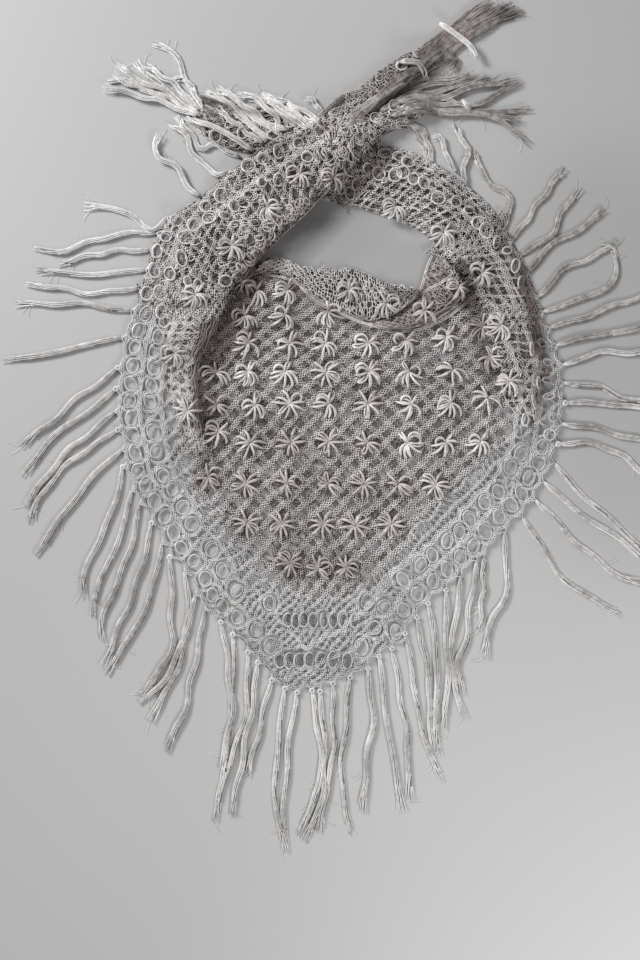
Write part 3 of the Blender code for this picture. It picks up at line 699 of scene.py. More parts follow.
class Net:
    """Collects the threads of one piece of net, and the threads of its back."""

    def __init__(self, place):
        self.place = place
        self.threads = []
        self.backs = []

    def band(self, route, half=HALF_BAND, lift=0.0, rows=TWO_ROWS, step=LOOP_STEP):
        """Rows of loops along a route, and a dark thread of painted shade behind each row."""
        points = even_steps(route, step / 2) if len(route) > 1 else []
        if len(points) < 4:
            return
        for share in rows:
            row = share * half
            for way in (-1, 1):
                strand = []
                for index, point in enumerate(points):
                    swing = half / 2 * chance.uniform(*SWINGS) if index % 2 else PINCH
                    seat = point - side_of(points, index, 2) * (row + way * swing)
                    strand.append(self.place(seat.x, seat.y, lift + chance.uniform(0, UNEVEN)))
                self.threads.append((strand, False, None))
            back = []
            for index in [*range(0, len(points) - 2, BACK_EVERY), len(points) - 1]:
                seat = points[index] - side_of(points, index, 2) * row
                back.append(self.place(seat.x, seat.y, lift + BACK_DEPTH))
            self.backs.append((back, False, None))

    def finish(self, name, finish, slot, back_finish=None, back_thread=BACK_THREAD):
        """Makes the two pieces."""
        net = yarn_piece(name, self.threads, THREAD, finish)
        backs = yarn_piece(name + "_back", self.backs, back_thread, back_finish or HOLE_SHADE_YARN)
        return net, backs


def shaken(line, much):
    """A line with the small unevenness of hand work."""
    return [place + wander(place.x, place.y, much) for place in line]


def inside(outline, column, row):
    """Whether a place of the chart is inside an outline, by counting the sides it faces."""
    found = False
    for (x1, y1), (x2, y2) in zip(outline, outline[1:] + outline[:1]):
        if (y1 > row) != (y2 > row) and column < (x2 - x1) * (row - y1) / (y2 - y1) + x1:
            found = not found
    return found


def deep_inside(outline, column, row, margin):
    """Whether a place is inside an outline and some way off its sides."""
    around = ((-margin, -margin), (-margin, margin), (margin, -margin), (margin, margin))
    return all(inside(outline, column + over, row + below) for over, below in around)


print("a band is", round((2 * HALF_BAND * SQUARE + THREAD) * 1000, 1), "mm wide")

# %% [markdown]
# Every tassel hangs from a point of the slanted edges, so the tassels are listed first, each
# as the line that it takes over the floor, from its knot to its end. The knots give the
# border its line: down the left side, round the tip and up the right side.

# %% The tassels' lines and the border line
TASSELS = {
    "fringe_left_top": [
        [(168, 217), (152, 231), (128, 212), (84, 207)], [(157, 233), (112, 236), (60, 252), (34, 248)],
        [(150, 250), (104, 253), (58, 265)], [(146, 270), (98, 274), (35, 271)],
        [(139, 288), (92, 293), (26, 284)],
    ],
    "fringe_left": [
        [(131, 311), (80, 305), (15, 303)], [(122, 338), (85, 344), (50, 356), (2, 358)],
        [(118, 368), (72, 404), (44, 428), (20, 447)], [(116, 389), (72, 424), (44, 448), (22, 477)],
        [(115, 412), (70, 450), (44, 480), (26, 508)], [(118, 430), (76, 458), (44, 490), (30, 524)],
        [(122, 450), (86, 484), (60, 520), (36, 556)], [(123, 467), (110, 520), (88, 560), (83, 598)],
    ],
    "fringe_lower_left": [
        [(132, 491), (118, 540), (98, 590), (92, 617)], [(140, 504), (127, 560), (105, 610), (101, 641)],
        [(152, 523), (140, 575), (122, 620), (104, 668)], [(162, 544), (150, 600), (132, 630), (108, 676)],
        [(170, 557), (172, 640), (160, 670), (140, 697)], [(185, 572), (188, 620), (176, 670), (150, 722)],
        [(196, 595), (178, 655), (160, 685), (140, 704)], [(205, 610), (195, 665), (184, 710), (166, 752)],
    ],
    "fringe_bottom_left": [
        [(221, 622), (228, 665), (232, 710), (220, 775)], [(233, 634), (233, 700), (226, 745), (222, 787)],
        [(248, 652), (245, 720), (226, 770), (215, 822)], [(258, 662), (250, 720), (240, 770), (230, 815)],
        [(272, 680), (260, 725), (248, 777)], [(285, 688), (275, 770), (278, 810), (284, 852)],
        [(297, 692), (286, 770), (284, 800), (285, 845)],
    ],
    "fringe_bottom_right": [
        [(312, 690), (322, 770), (312, 800), (300, 836)], [(320, 691), (325, 770), (318, 810), (305, 842)],
        [(333, 683), (333, 760), (326, 790), (320, 832)], [(350, 677), (343, 750), (342, 790), (352, 834)],
        [(368, 668), (372, 720), (366, 770), (363, 812)], [(379, 656), (388, 720), (393, 760), (401, 811)],
        [(392, 648), (408, 745), (408, 770), (410, 801)], [(405, 633), (418, 700), (424, 740), (443, 781)],
    ],
    "fringe_lower_right": [
        [(417, 617), (430, 690), (428, 720), (438, 755)], [(428, 603), (438, 670), (434, 710), (437, 750)],
        [(446, 590), (447, 640), (447, 680), (443, 730)], [(461, 576), (453, 640), (453, 680), (464, 717)],
        [(477, 560), (465, 640), (458, 665), (462, 695)], [(484, 556), (482, 605), (478, 630)],
        [(505, 531), (505, 590), (492, 620), (484, 657)],
    ],
    "fringe_right": [
        [(522, 516), (550, 560), (580, 592), (622, 614)], [(535, 500), (575, 540), (610, 570), (644, 586)],
        [(543, 482), (596, 524), (625, 545), (650, 566)], [(554, 463), (588, 500), (610, 520), (652, 556)],
        [(558, 444), (604, 446), (640, 470), (668, 492)], [(562, 424), (606, 431), (640, 440), (690, 458)],
        [(565, 403), (614, 404), (650, 412), (700, 430)], [(563, 383), (600, 388), (640, 402), (698, 404)],
        [(563, 365), (606, 352), (650, 352), (700, 345)],
    ],
    "fringe_right_top": [
        [(557, 345), (604, 333), (640, 329), (690, 310)], [(550, 328), (600, 312), (640, 296), (684, 284)],
        [(543, 312), (595, 295), (614, 276), (613, 250), (600, 244)],
        [(538, 297), (567, 268), (590, 258), (620, 243)],
        [(528, 272), (552, 246), (575, 232), (604, 209)], [(521, 255), (549, 236), (562, 214), (580, 187)],
        [(512, 240), (530, 215), (548, 190), (565, 168)], [(505, 226), (510, 200), (485, 178), (473, 149)],
    ],
}
knot_places = [Vector((*route[0], 0)) for routes in TASSELS.values() for route in routes]
LEFT_SHOULDER = [(318, 118), (290, 134), (262, 151), (236, 168), (215, 184), (197, 199), (182, 209)]
RIGHT_SHOULDER = [(487, 203), (466, 185), (440, 166), (412, 152)]
# a ring's room along the edge, and the places of the line in it
RING_STEP = 18.7
RING_PLACES = 8
edge_places = LEFT_SHOULDER + [(place.x, place.y) for place in knot_places] + RIGHT_SHOULDER
edge_line = chart_line(edge_places, RING_STEP / RING_PLACES)
# below this row the border lies flat
FLAT_FROM = 310
flat_part = [index for index, place in enumerate(edge_line) if place.y > FLAT_FROM]
first_flat, last_flat = flat_part[0], flat_part[-1]


def inward(distance, swell=0.0):
    """The border line moved into the cloth by a number of squares, swelling round each ring."""
    moved = []
    for index, point in enumerate(edge_line):
        off = distance + swell * math.cos(math.tau * index / RING_PLACES)
        moved.append(point + side_of(edge_line, index, 8) * off)
    return moved


print("the slanted edges are", round(len(edge_line) * RING_STEP / RING_PLACES * SQUARE, 2), "m long")

# %% [markdown]
# Flowers sit on a grid that the hand-made net pulls out of square, so the grid is a table
# of where each row and column really lies. The net's bands run diagonally from flower to
# flower, with one more band half way. They are worked out on the even grid and then moved
# to the chart by the same table, which keeps the flowers on their crossings.

# %% The front's grid
GRID = [
    (255, (215, 250, 288, 327, 367, 405, 447, 488)),
    (288, (212, 252, 289, 330, 367, 405, 448, 486)),
    (313, (212, 245, 286, 328, 366, 405, 447, 484)),
    (343, (212, 248, 289, 325, 368, 405, 446, 482)),
    (372, (215, 248, 285, 326, 368, 409, 452, 490)),
    (404, (217, 255, 290, 328, 368, 411, 450, 487)),
    (443, (218, 250, 291, 329, 367, 408, 445, 480)),
    (484, (209, 246, 287, 328, 364, 398, 435, 470)),
    (524, (208, 247, 282, 323, 355, 391, 428, 462)),
    (566, (210, 250, 290, 318, 346, 380, 415, 450)),
    (606, (215, 255, 290, 318, 346, 378, 412, 446)),
]
# the front's outline: down the left side, round the flowers, up the right side, along the neck
FIELD = [
    (228, 304), (200, 328), (193, 360), (195, 400), (198, 436), (190, 460), (190, 492), (214, 508),
    (226, 545), (262, 582), (300, 600), (345, 602), (376, 582), (410, 548), (424, 512), (452, 502),
    (490, 464), (504, 432), (518, 400), (535, 318), (487, 316), (470, 295), (420, 288), (385, 282),
    (350, 268), (300, 265), (262, 259), (238, 290),
]
# the bands of each family, the points from one row of flowers to the next, and how they lie
BAND_NUMBERS = range(-26, 46)
BAND_TICKS = 8
FIELD_WANDER = 2.6
FAMILY_LIFT = 0.0004


def grid_place(across, down):
    """A place of the even grid, with a flower at each whole number, on the chart."""
    row = min(max(int(down), 0), len(GRID) - 2)
    part = down - row
    column = min(max(int(across), 0), len(GRID[0][1]) - 2)
    share = across - column
    found = []
    for height, places in (GRID[row], GRID[row + 1]):
        x = places[column] + (places[column + 1] - places[column]) * share
        found.append(Vector((x, height, 0)))
    return found[0].lerp(found[1], part)


def front_place(column, row, lift):
    """A place on the net at the front, under anything that lies on it."""
    return spot(column, row, NET_HEIGHT + ripple(column, row) + lift)


def diagonal_bands(net, family):
    """One family of diagonal bands, cut off where the field ends."""
    for number in BAND_NUMBERS:
        run = []
        for tick in range(-BAND_TICKS, (len(GRID) + 1) * BAND_TICKS):
            down = tick / BAND_TICKS
            point = grid_place(number / 2 - family * down, down)
            point += wander(point.x, point.y, FIELD_WANDER)
            if inside(FIELD, point.x, point.y):
                run.append(point)
            else:
                net.band(run, lift=FAMILY_LIFT * family)
                run = []


field_net = Net(front_place)
for family in (1, -1):
    diagonal_bands(field_net, family)
front_net, front_net_back = field_net.finish("front_net", NET_YARN, "lace")
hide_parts("front_panel")

# %% [markdown]
# A flower is about nine loops of soft yarn tied at the middle. Most loops stand on edge, so
# from above each is one thick strand that rises, bends over and hooks down at its end. A
# table says how they lie: most flowers are swept round, with a loop at the back that curls
# to the left and nearly closes and the others hooked forwards. On some the loops arch to
# both sides, on the lower ones they nest like a shell, and on a few they spread like a star.
# Many of the loops that point away from the light are of a darker yarn, painted shade.

# %% Loop flowers
PETAL_POINTS = 10
LOOP_POINTS = 14
FLOWER_REACH = 15.7
PETAL_THREAD = 0.0035
STAR_LOOPS = 9
LEAST_HEIGHT = 0.0011
# a loop on edge starts this share of its reach from the middle
TIED_SHARE = 0.06
# columns: the way a loop leaves the middle, how far it bends and how late, its length, and how
# often it is there
SWEPT_LOOPS = (
    (1.72, 4.5, 1.05, 1.80, 0.95), (2.10, 3.9, 1.1, 1.34, 0.5), (2.95, 0.7, 1.4, 0.86, 0.75),
    (3.62, -0.7, 1.3, 1.04, 0.9), (4.20, -0.8, 1.3, 1.08, 0.9), (4.72, -0.5, 1.4, 1.06, 0.9),
    (5.20, -1.2, 1.2, 0.98, 0.8), (6.08, -1.9, 1.1, 1.16, 0.95), (5.68, -1.4, 1.2, 1.06, 0.8),
    (0.75, 0.3, 1.6, 0.84, 0.75), (1.35, -0.2, 1.6, 0.80, 0.6), (0.25, -0.8, 1.3, 0.94, 0.5),
)
# on some flowers the loops arch over to both sides
ARCHED_LOOPS = (
    (1.70, 0.3, 1.6, 0.90, 0.8), (2.20, 1.5, 1.3, 1.05, 0.8), (2.60, 1.9, 1.3, 1.20, 0.8),
    (3.00, 1.3, 1.3, 0.9, 0.6), (4.05, -0.5, 1.4, 1.05, 0.9), (4.75, 0.1, 1.6, 1.0, 0.9),
    (5.70, -0.8, 1.3, 0.95, 0.7), (6.15, -1.4, 1.2, 1.10, 0.85), (0.35, -2.0, 1.2, 1.18, 0.7),
    (1.00, -0.4, 1.6, 0.8, 0.5),
)
ARCHED_SHARE = 0.12
MIRRORED_SHARE = 0.12
# some loops lie open, and a few flowers have one wide open loop more
OPEN_SHARE = 0.15
OPEN_BEND = 1.5
WIDE_LOOP_SHARE = 0.12
WIDE_LOOP_REACH = 14
# many loops that leave a front flower about this way, away from the light, are of the shaded yarn
SHADE_WAY = 0.55
SHADE_WIDTH = 0.6
SHADE_SHARE = 0.6
# the lower flowers: short straight loops to the left and nested arcs to the right
SHELL_LOOPS = (
    (2.95, 0.2, 1.6, 0.82, 0.8), (2.40, -0.2, 1.6, 0.95, 0.9), (3.55, 0.4, 1.6, 0.84, 0.7),
    (1.85, -0.3, 1.6, 0.92, 0.7), (1.20, -2.8, 1.2, 1.36, 0.8), (0.85, -3.1, 1.2, 1.02, 0.5),
    (-0.05, -0.8, 1.3, 1.02, 0.8), (-0.55, -0.5, 1.4, 1.08, 0.7), (-1.00, 0.7, 1.5, 1.0, 0.6),
    (-1.50, 0.6, 1.5, 0.98, 0.8), (-2.15, -0.4, 1.5, 0.98, 0.8),
)


def seat_at(column, row, lift):
    """The middle of a flower or ring, with the two ways along the cloth and the way up."""
    centre, up = lay(column, row, lift)
    east = (Vector((1, 0, 0)) - up * up.x).normalized()
    return centre, east, up.cross(east), up


def petal(strands, seat, angle, reach, bend, rise, late=1.6):
    """A loop on edge, as one strand that rises, bends over and hooks down."""
    centre, east, north, up = seat
    step = (1 - TIED_SHARE) * reach / (PETAL_POINTS - 1)
    x, y = TIED_SHARE * reach * math.cos(angle), TIED_SHARE * reach * math.sin(angle)
    points, radii = [], []
    for number in range(PETAL_POINTS):
        share = number / (PETAL_POINTS - 1)
        height = rise * math.sin(math.pi * min(0.15 + 0.83 * share, 1.0))
        points.append(centre + (east * x + north * y + up * height) * SQUARE)
        radii.append(0.38 + 0.66 * math.sin(math.pi * (0.08 + 0.80 * share)))
        way = angle + bend * share ** late
        x += step * math.cos(way)
        y += step * math.sin(way)
    strands.append((points, False, radii))


def open_loop(strands, seat, angle, reach, half, rise, bend=0.0):
    """A loop that lies open, with both its sides in sight."""
    centre, east, north, up = seat
    points, radii = [], []
    for number in range(LOOP_POINTS):
        turn = math.tau * number / LOOP_POINTS
        share = 0.5 - 0.5 * math.cos(turn)
        aside = half * math.sin(turn) * (0.5 + 0.6 * share)
        spine, heading = angle + 0.5 * bend * share ** 2, angle + bend * share ** 2
        x = share * reach * math.cos(spine) - aside * math.sin(heading)
        y = share * reach * math.sin(spine) + aside * math.cos(heading)
        height = rise * (0.4 + math.sin(math.pi * share) + 0.35 * math.sin(turn))
        point = centre + (east * x + north * y + up * height) * SQUARE
        points.append(Vector((point.x, point.y, max(point.z, LEAST_HEIGHT))))
        radii.append(0.58 + 0.20 * share)
    strands.append((points, True, radii))


def loop_ways(starry, swept):
    """The loops of one flower, as ways, bends, how late they bend and lengths."""
    if chance.random() < starry:
        start = chance.uniform(0, math.tau)
        for number in range(STAR_LOOPS):
            angle = start + math.tau * number / STAR_LOOPS + chance.uniform(-0.15, 0.15)
            to_front = (-math.pi / 2 - angle + math.pi) % math.tau - math.pi
            yield angle, 0.22 * to_front + chance.uniform(-0.6, 0.6), 1.6, chance.uniform(0.85, 1.1)
        return
    tilt, mirrored = chance.uniform(-0.25, 0.25), chance.random() < MIRRORED_SHARE
    if swept is SWEPT_LOOPS and chance.random() < ARCHED_SHARE:
        swept = ARCHED_LOOPS
    for angle, bend, late, length, often in swept:
        if chance.random() < often:
            angle += tilt + chance.uniform(-0.2, 0.2)
            bend *= chance.uniform(0.85, 1.08)
            length *= chance.uniform(0.82, 1.12)
            if mirrored:
                angle, bend = math.pi - angle, -bend
            yield angle, bend, late, length


def flower(
    strands, column, row, size=1.0, lift=0.0008, starry=0.2, swept=SWEPT_LOOPS, shaded_loops=None
):
    """The loops of one flower. Those in the shade may go to a list of their own."""
    seat = seat_at(column, row, lift)
    for angle, bend, late, length in loop_ways(starry, swept):
        reach = FLOWER_REACH * size * length
        into = strands
        if shaded_loops is not None and math.cos(angle - SHADE_WAY) > SHADE_WIDTH:
            if chance.random() < SHADE_SHARE:
                into = shaded_loops
        if chance.random() < OPEN_SHARE and abs(bend) < OPEN_BEND:
            open_loop(into, seat, angle, reach * 0.9, chance.uniform(1.5, 2.2), 2.4, bend)
        else:
            petal(into, seat, angle, reach, bend, chance.uniform(2.4, 4.2), late)
    if chance.random() < WIDE_LOOP_SHARE:
        way = chance.choice((0.7, 2.2))
        open_loop(strands, seat, way, WIDE_LOOP_REACH * size, chance.uniform(5.2, 6.4) * size, 2.0)


FRONT_FLOWERS = [
    (257, 291), (287, 291), (245, 316), (285, 315), (328, 312),
    (248, 343), (289, 344), (325, 344), (368, 343), (405, 341), (446, 337), (500, 326),
    (216, 373), (248, 372), (285, 372), (326, 373), (368, 372), (409, 372), (452, 370), (491, 357),
    (255, 405), (290, 404), (328, 404), (368, 404), (411, 404), (450, 403), (487, 398),
    (218, 432), (250, 443), (408, 443), (445, 442), (480, 441), (435, 485), (508, 382),
]
# flowers all in the darker yarn of painted shade
SHADED_FLOWERS = [
    (217, 405), (482, 327), (291, 443), (329, 442), (367, 443), (209, 478), (246, 484), (287, 483),
    (328, 484), (364, 484), (398, 484), (247, 523), (282, 524), (323, 524), (355, 525), (391, 524),
    (290, 563), (318, 568), (346, 567),
]
loops, painted_shade_loops = [], []
for column, row in FRONT_FLOWERS:
    flower(loops, column, row, starry=0.15, shaded_loops=painted_shade_loops)
for column, row in SHADED_FLOWERS:
    flower(painted_shade_loops, column, row, 0.96, starry=0.4, swept=SHELL_LOOPS)
print("flowers at the front:", len(FRONT_FLOWERS) + len(SHADED_FLOWERS))
front_flowers = yarn_piece("front_flowers", loops, PETAL_THREAD, FLOWER_YARN, 5)
shaded_flowers = yarn_piece("shaded_flowers", painted_shade_loops, PETAL_THREAD, SHADED_FLOWER_YARN, 5)

# %% [markdown]
# The same loops go on below the net, where they lie flat in the flower's own shade, and
# smaller curls fill the gaps between the flowers. Their yarn is darkened as painted shade,
# which is why the middle of the shawl looks denser than its border.

# %% Loops and curls under the net
BACK_LOOPS = 9
BACK_LOOP_THREAD = 0.0024
CURLS = 1380
CURL_POINTS = 6
CURL_TURN = 3.9
CURL_COLUMNS = (165, 540)
CURL_ROWS = (290, 640)
CURL_RADII = (3.0, 6.5)
CURL_DEPTHS = (-0.0022, -0.0008)
# below this row the curls keep away from the sides
OPEN_TO = 440
CURL_MARGIN = 10
# which hollows hold more dark curls of painted shade, and how many
CROWDED_HOLLOWS = ((1, 150), (2, 70), (4, 60))
# how far those lie from the hollow's line, to the right and below it
OFF_HOLLOW = ((-6, 20), (-8, 12))
# right of this column and above this row a hollow goes on past the field
PAST_FIELD = (440, 320)


def curl(strands, place, column, row, radius, lift):
    """A short arc of yarn that lies at a place, open to any side."""
    start = chance.uniform(0, math.tau)
    points = []
    for number in range(CURL_POINTS):
        angle = start + CURL_TURN * number / (CURL_POINTS - 1)
        points.append(place(column + radius * math.cos(angle), row + radius * math.sin(angle), lift))
    strands.append((points, False, None))


def deep_curl(strands, column, row):
    """A curl at some depth under the net at the front."""
    curl(strands, front_place, column, row, chance.uniform(*CURL_RADII), chance.uniform(*CURL_DEPTHS))


def near_hollow(line):
    """A place near a hollow's line, from one of its places some way towards another."""
    first, second = Vector((*chance.choice(line), 0)), Vector((*chance.choice(line), 0))
    place = first.lerp(second, chance.uniform(0, 0.4))
    return place.x + chance.uniform(*OFF_HOLLOW[0]), place.y + chance.uniform(*OFF_HOLLOW[1])


backs = []
all_flowers = FRONT_FLOWERS + SHADED_FLOWERS
for column, row in all_flowers:
    centre, east, north, up = seat_at(column, row, 0.0)
    seat = (Vector((centre.x, centre.y, BACK_LOOP_THREAD * 0.6)), east, north, up)
    start = chance.uniform(0, 1)
    for number in range(BACK_LOOPS):
        angle = start + math.tau * number / BACK_LOOPS + chance.uniform(-0.3, 0.3)
        bend = chance.choice((-1, 1)) * chance.uniform(0.8, 3.0)
        petal(backs, seat, angle, FLOWER_REACH * chance.uniform(1.1, 1.55), bend, 0.6)
while len(backs) < BACK_LOOPS * len(all_flowers) + CURLS:
    column, row = chance.uniform(*CURL_COLUMNS), chance.uniform(*CURL_ROWS)
    if deep_inside(FIELD, column, row, CURL_MARGIN if row > OPEN_TO else 0):
        deep_curl(backs, column, row)
for hollow, count in CROWDED_HOLLOWS:
    for _ in range(count):
        column, row = near_hollow(HOLLOWS[hollow][0])
        if inside(FIELD, column, row) or (column > PAST_FIELD[0] and row < PAST_FIELD[1]):
            deep_curl(backs, column, row)
front_backs = yarn_piece("front_back_loops", backs, BACK_LOOP_THREAD, UNDER_YARN)
print("loops and curls under the net:", len(backs))

# %% [markdown]
# Each yarn ring is wound twice, so one turn shows beside the other. The rings of the border
# stand in two lanes between its bands. They are a little longer than wide, rise proud of the
# net and lean each its own way. At the tip the cloth is gathered, so its rings crowd together.

# %% Yarn rings
RING_THREAD = 0.00165
RING_POINTS = 30
RING_GAP = 14.5
RING_LANES = (14.6, 35.0)
# columns: the row, the places along it, and the rings' half width and height
CROWDED_ROWS = (
    (620, (288, 296, 304, 313.5, 324, 333.5, 343.5, 354), 5.1, 7.7),
    (660, (281, 289, 299, 310, 320.5, 332.5, 347), 5.9, 8.9),
)
LONE_RINGS = (
    (271, 645, 7.2, 8.6), (361, 646, 6.6, 8.0), (366, 602, 6.2, 7.4), (270, 603, 6.2, 7.2),
    (375, 627, 6.2, 7.6), (257, 629, 6.6, 7.8), (385, 607, 6.4, 7.4), (396, 631, 6.0, 7.4),
)
# the tip, where the rings are crowded: its first and last column, and its first row
CROWDED_PART = (250, 402, 596)
# above this row the border is under a fold
FOLDED_TO = 312
# right of this column it is under a fold above this row
RIGHT_FOLD = (500, 438)
RING_SHIFT = 0.9
# a frame's half width and height round a ring in a lane, and how far it stands off a lone ring
LANE_FRAME = (10.0, 11.2)
FRAME = 3.6
FRAME_POINTS = 24
# how far the threads that cross the border may run into a frame
FRAME_EDGE = 1.5
# the yarn behind a ring, darkened as painted shade, lies in ovals of these shares of its size
SHADE_LOOPS = (0.2, 0.5, 0.8)
SHADE_POINTS = 10
SHADE_THREAD = 0.0021
rings = []
ring_shades = []
frames = []
ringed = []


def ring(strands, column, row, width=6.0, height=7.6, lean=0.0, turn=None, lift=0.0012):
    """A ring by its half width and height, its long way turned, and one side leaning up."""
    column += chance.uniform(-RING_SHIFT, RING_SHIFT)
    row += chance.uniform(-RING_SHIFT, RING_SHIFT)
    centre, east, north, up = seat_at(column, row, lift)
    width, height = width * chance.uniform(0.88, 1.08), height * chance.uniform(0.92, 1.1)
    turn = math.pi / 2 + chance.uniform(-0.6, 0.6) if turn is None else turn
    lean += chance.uniform(-0.3, 0.3)
    long_way = east * math.cos(turn) + north * math.sin(turn)
    short_way = up.cross(long_way) * math.cos(lean) + up * math.sin(lean)
    drift = Vector((chance.uniform(-0.8, 0.8), chance.uniform(-0.8, 0.8), 0.5))
    points = []
    for number in range(RING_POINTS):
        angle = 2 * math.tau * number / RING_POINTS
        off = long_way * height * math.cos(angle) + short_way * width * math.sin(angle)
        off *= 0.93 + 0.07 * math.cos(angle / 2)
        points.append(centre + (off + drift * math.cos(angle / 2)) * SQUARE)
    sunk = RING_THREAD / 2 - min(point.z for point in points)
    if sunk > 0:
        points = [point + Vector((0, 0, sunk)) for point in points]
    strands.append((points, True, None))


def oval(column, row, width, height, points):
    """Places round an oval of the chart, with the first one again at the end."""
    for number in range(points + 1):
        angle = math.tau * number / points
        yield column + width * math.cos(angle), row + height * math.sin(angle)


def shaded(strands, column, row, width, height, lift):
    """Fills a ring with the yarn that lies behind it, darkened as painted shade."""
    for share in SHADE_LOOPS:
        places = list(oval(column, row, width * share, height * share, SHADE_POINTS))[:-1]
        strands.append(([draped(x, y, lift) for x, y in places], True, None))


def framed(column, row, width, height):
    """The row of small loops that runs round a ring and joins it to the net."""
    ringed.append((column, row, width - FRAME_EDGE, height - FRAME_EDGE))
    places = [Vector((x, y, 0)) for x, y in oval(column, row, width, height, FRAME_POINTS)]
    frames.append(shaken(places, 3.0))


def has_room(place):
    """Whether a ring fits in a lane here, clear of the tip, the folds and the other rings."""
    crowded = CROWDED_PART[0] < place.x < CROWDED_PART[1] and place.y > CROWDED_PART[2]
    folded = place.y < FOLDED_TO or (place.x > RIGHT_FOLD[0] and place.y < RIGHT_FOLD[1])
    close = any(math.hypot(place.x - x, place.y - y) < RING_GAP for x, y, _, _ in ringed)
    return not crowded and not folded and not close


for distance in RING_LANES:
    for place in inward(distance)[::RING_PLACES]:
        if has_room(place):
            ring(rings, place.x, place.y)
            framed(place.x, place.y, *LANE_FRAME)
for row, columns, width, height in CROWDED_ROWS:
    for column in columns:
        ring(rings, column, row, width, height, 0.3, math.pi / 2)
        shaded(ring_shades, column, row, width, height, -0.0016)
        ringed.append((column, row, width, height))
for column, row, width, height in LONE_RINGS:
    ring(rings, column, row, width, height, 0.0, math.pi / 2)
    framed(column, row, width + FRAME, height + FRAME)
yarn_piece("ring_shades", ring_shades, SHADE_THREAD, MIST_YARN)
print("rings in the border:", len(rings))

# %% [markdown]
# The border's bands run along the edge at three distances, and single rows of loops cross
# the rest of it both ways, closer together near the front's net and at the tip. A row of
# loops runs round every ring. One layer of lace lies on the floor there, so the threads at
# its back carry a lighter painted shade.

# %% The border's net
BORDER_LIFT = 0.0011
# how far the border's three bands are from its line
OUTER_DEPTH, MIDDLE_DEPTH, INNER_DEPTH = 5, 24.7, 46
BORDER_WANDER = 1.5
CROSS_BAND = 2.6
CROSS_LIFT = BORDER_LIFT - 0.0004
CROSS_WANDER = 5.0
# the first column and row of the field that the border's own bands cross, its width and depth
ZONE = (100, 300, 480, 396)
ZONE_CELL = 8.5
ZONE_STEP = 3
TIP_FROM = 588
# how far the border's bands run into the field
OVERLAP = 6


def flat_stretch(distance, before, after, swell=0.0):
    """The border line at a distance, where it lies flat and some places further each way."""
    return inward(distance, swell)[first_flat - before:last_flat + after]


def bare(place):
    """Whether a place of the border is clear of the rings and the front's net."""
    offs = [((place.x - x) / wide, (place.y - y) / high) for x, y, wide, high in ringed]
    margin = OVERLAP if place.y > OPEN_TO else 0
    if any(math.hypot(*off) < 1 for off in offs) or deep_inside(FIELD, place.x, place.y, margin):
        return False
    return inside(zone, place.x, place.y)


ring_frames = Net(draped)
for route in frames:
    ring_frames.band(route, CROSS_BAND, CROSS_LIFT, ONE_ROW, FINE_STEP)
frames_net, frames_back = ring_frames.finish("ring_frames", EDGE_YARN, "lace", MIST_YARN, FINE_BACK)
border = Net(draped)
outer = shaken(inward(OUTER_DEPTH, -1.2), BORDER_WANDER)
border.band(outer, FINE_BAND, BORDER_LIFT, ONE_ROW, FINE_STEP)
border.band(shaken(inward(MIDDLE_DEPTH), BORDER_WANDER), SLIM_BAND, BORDER_LIFT)
border.band(shaken(flat_stretch(INNER_DEPTH, 20, 12, 1.2), BORDER_WANDER), SLIM_BAND, BORDER_LIFT)
# the cross bands stay within the zone, and lie close in its core and at the tip
zone = [(place.x, place.y) for place in flat_stretch(OUTER_DEPTH + 1, 16, 8)]
core = [(place.x, place.y) for place in flat_stretch(INNER_DEPTH, 16, 8)[::3]]
for family in (1, -1):
    for number in range(int((ZONE[2] + 2 * ZONE[3]) / ZONE_CELL)):
        first = ZONE[0] + number * ZONE_CELL - (ZONE[3] if family == 1 else 0)
        run = []
        for tick in range(ZONE[3] // ZONE_STEP):
            down = ZONE_STEP * tick
            place = Vector((first + family * down, ZONE[1] + down, 0))
            place += wander(place.x, place.y, CROSS_WANDER)
            cored = family == 1 and place.y > OPEN_TO and inside(core, place.x, place.y)
            if (number % 2 == 0 or place.y > TIP_FROM or cored) and bare(place):
                run.append(place)
            else:
                border.band(run, CROSS_BAND, CROSS_LIFT, ONE_ROW, FINE_STEP)
                run = []
border_net, border_back = border.finish("border_net", EDGE_YARN, "lace", SHADE_YARN, FINE_BACK)
print("threads in the border:", len(border.threads))

# %% [markdown]
# Where one folded stretch ends and the next begins, or where a stretch runs on into the flat
# net, crossing bands are laid over the seam, because the real lace has no break there.

# %% Bands over the seams
# columns: the seam's first and last place, and how far the bands reach to each side
SEAMS = [
    ((150, 303), (230, 303), 17), ((488, 318), (534, 318), 13), ((438, 241), (500, 228), 15),
    ((347, 107), (383, 134), 12), ((341, 200), (380, 150), 11), ((184, 440), (210, 444), 16),
    ((455, 268), (480, 302), 9), ((436, 246), (480, 258), 11),
]
SEAM_PITCH = 7
SEAM_SLANTS = (-0.7, 0.7)
SEAM_LIFT = 0.0018
joins = Net(bridged)
for first, last, reach in SEAMS:
    first, last = Vector((*first, 0)), Vector((*last, 0))
    way = (last - first).normalized()
    side = Vector((way.y, -way.x, 0))
    for number in range(int((last - first).length / SEAM_PITCH) + 1):
        middle = first + way * SEAM_PITCH * number
        for slant in SEAM_SLANTS:
            off = (side + way * slant) * reach * chance.uniform(0.8, 1.15)
            route = even_steps([middle - off, middle, middle + off], 4)
            joins.band(shaken(route, 2.4), FINE_BAND, SEAM_LIFT, ONE_ROW)
joins.finish("join_net", NET_YARN, "folded_lace")

# %% [markdown]
# A thin cord runs from knot to knot and arches up to the first band between them. A knot is
# a small thick ring, and the tassel goes on from it.

# %% Scallops and knots
SCALLOP_DEPTH = 6.0
# a scallop's shoulders: how far towards its peak, and how much fuller than a straight line
SHOULDER = (0.62, 0.28)
KNOT_RADIUS = 1.9
KNOT_POINTS = 9
# the turns of a knot: how high each lies in squares, and its share of the radius
KNOT_TURNS = ((0.2, 1.0), (1.1, 0.9), (0.6, 1.25))
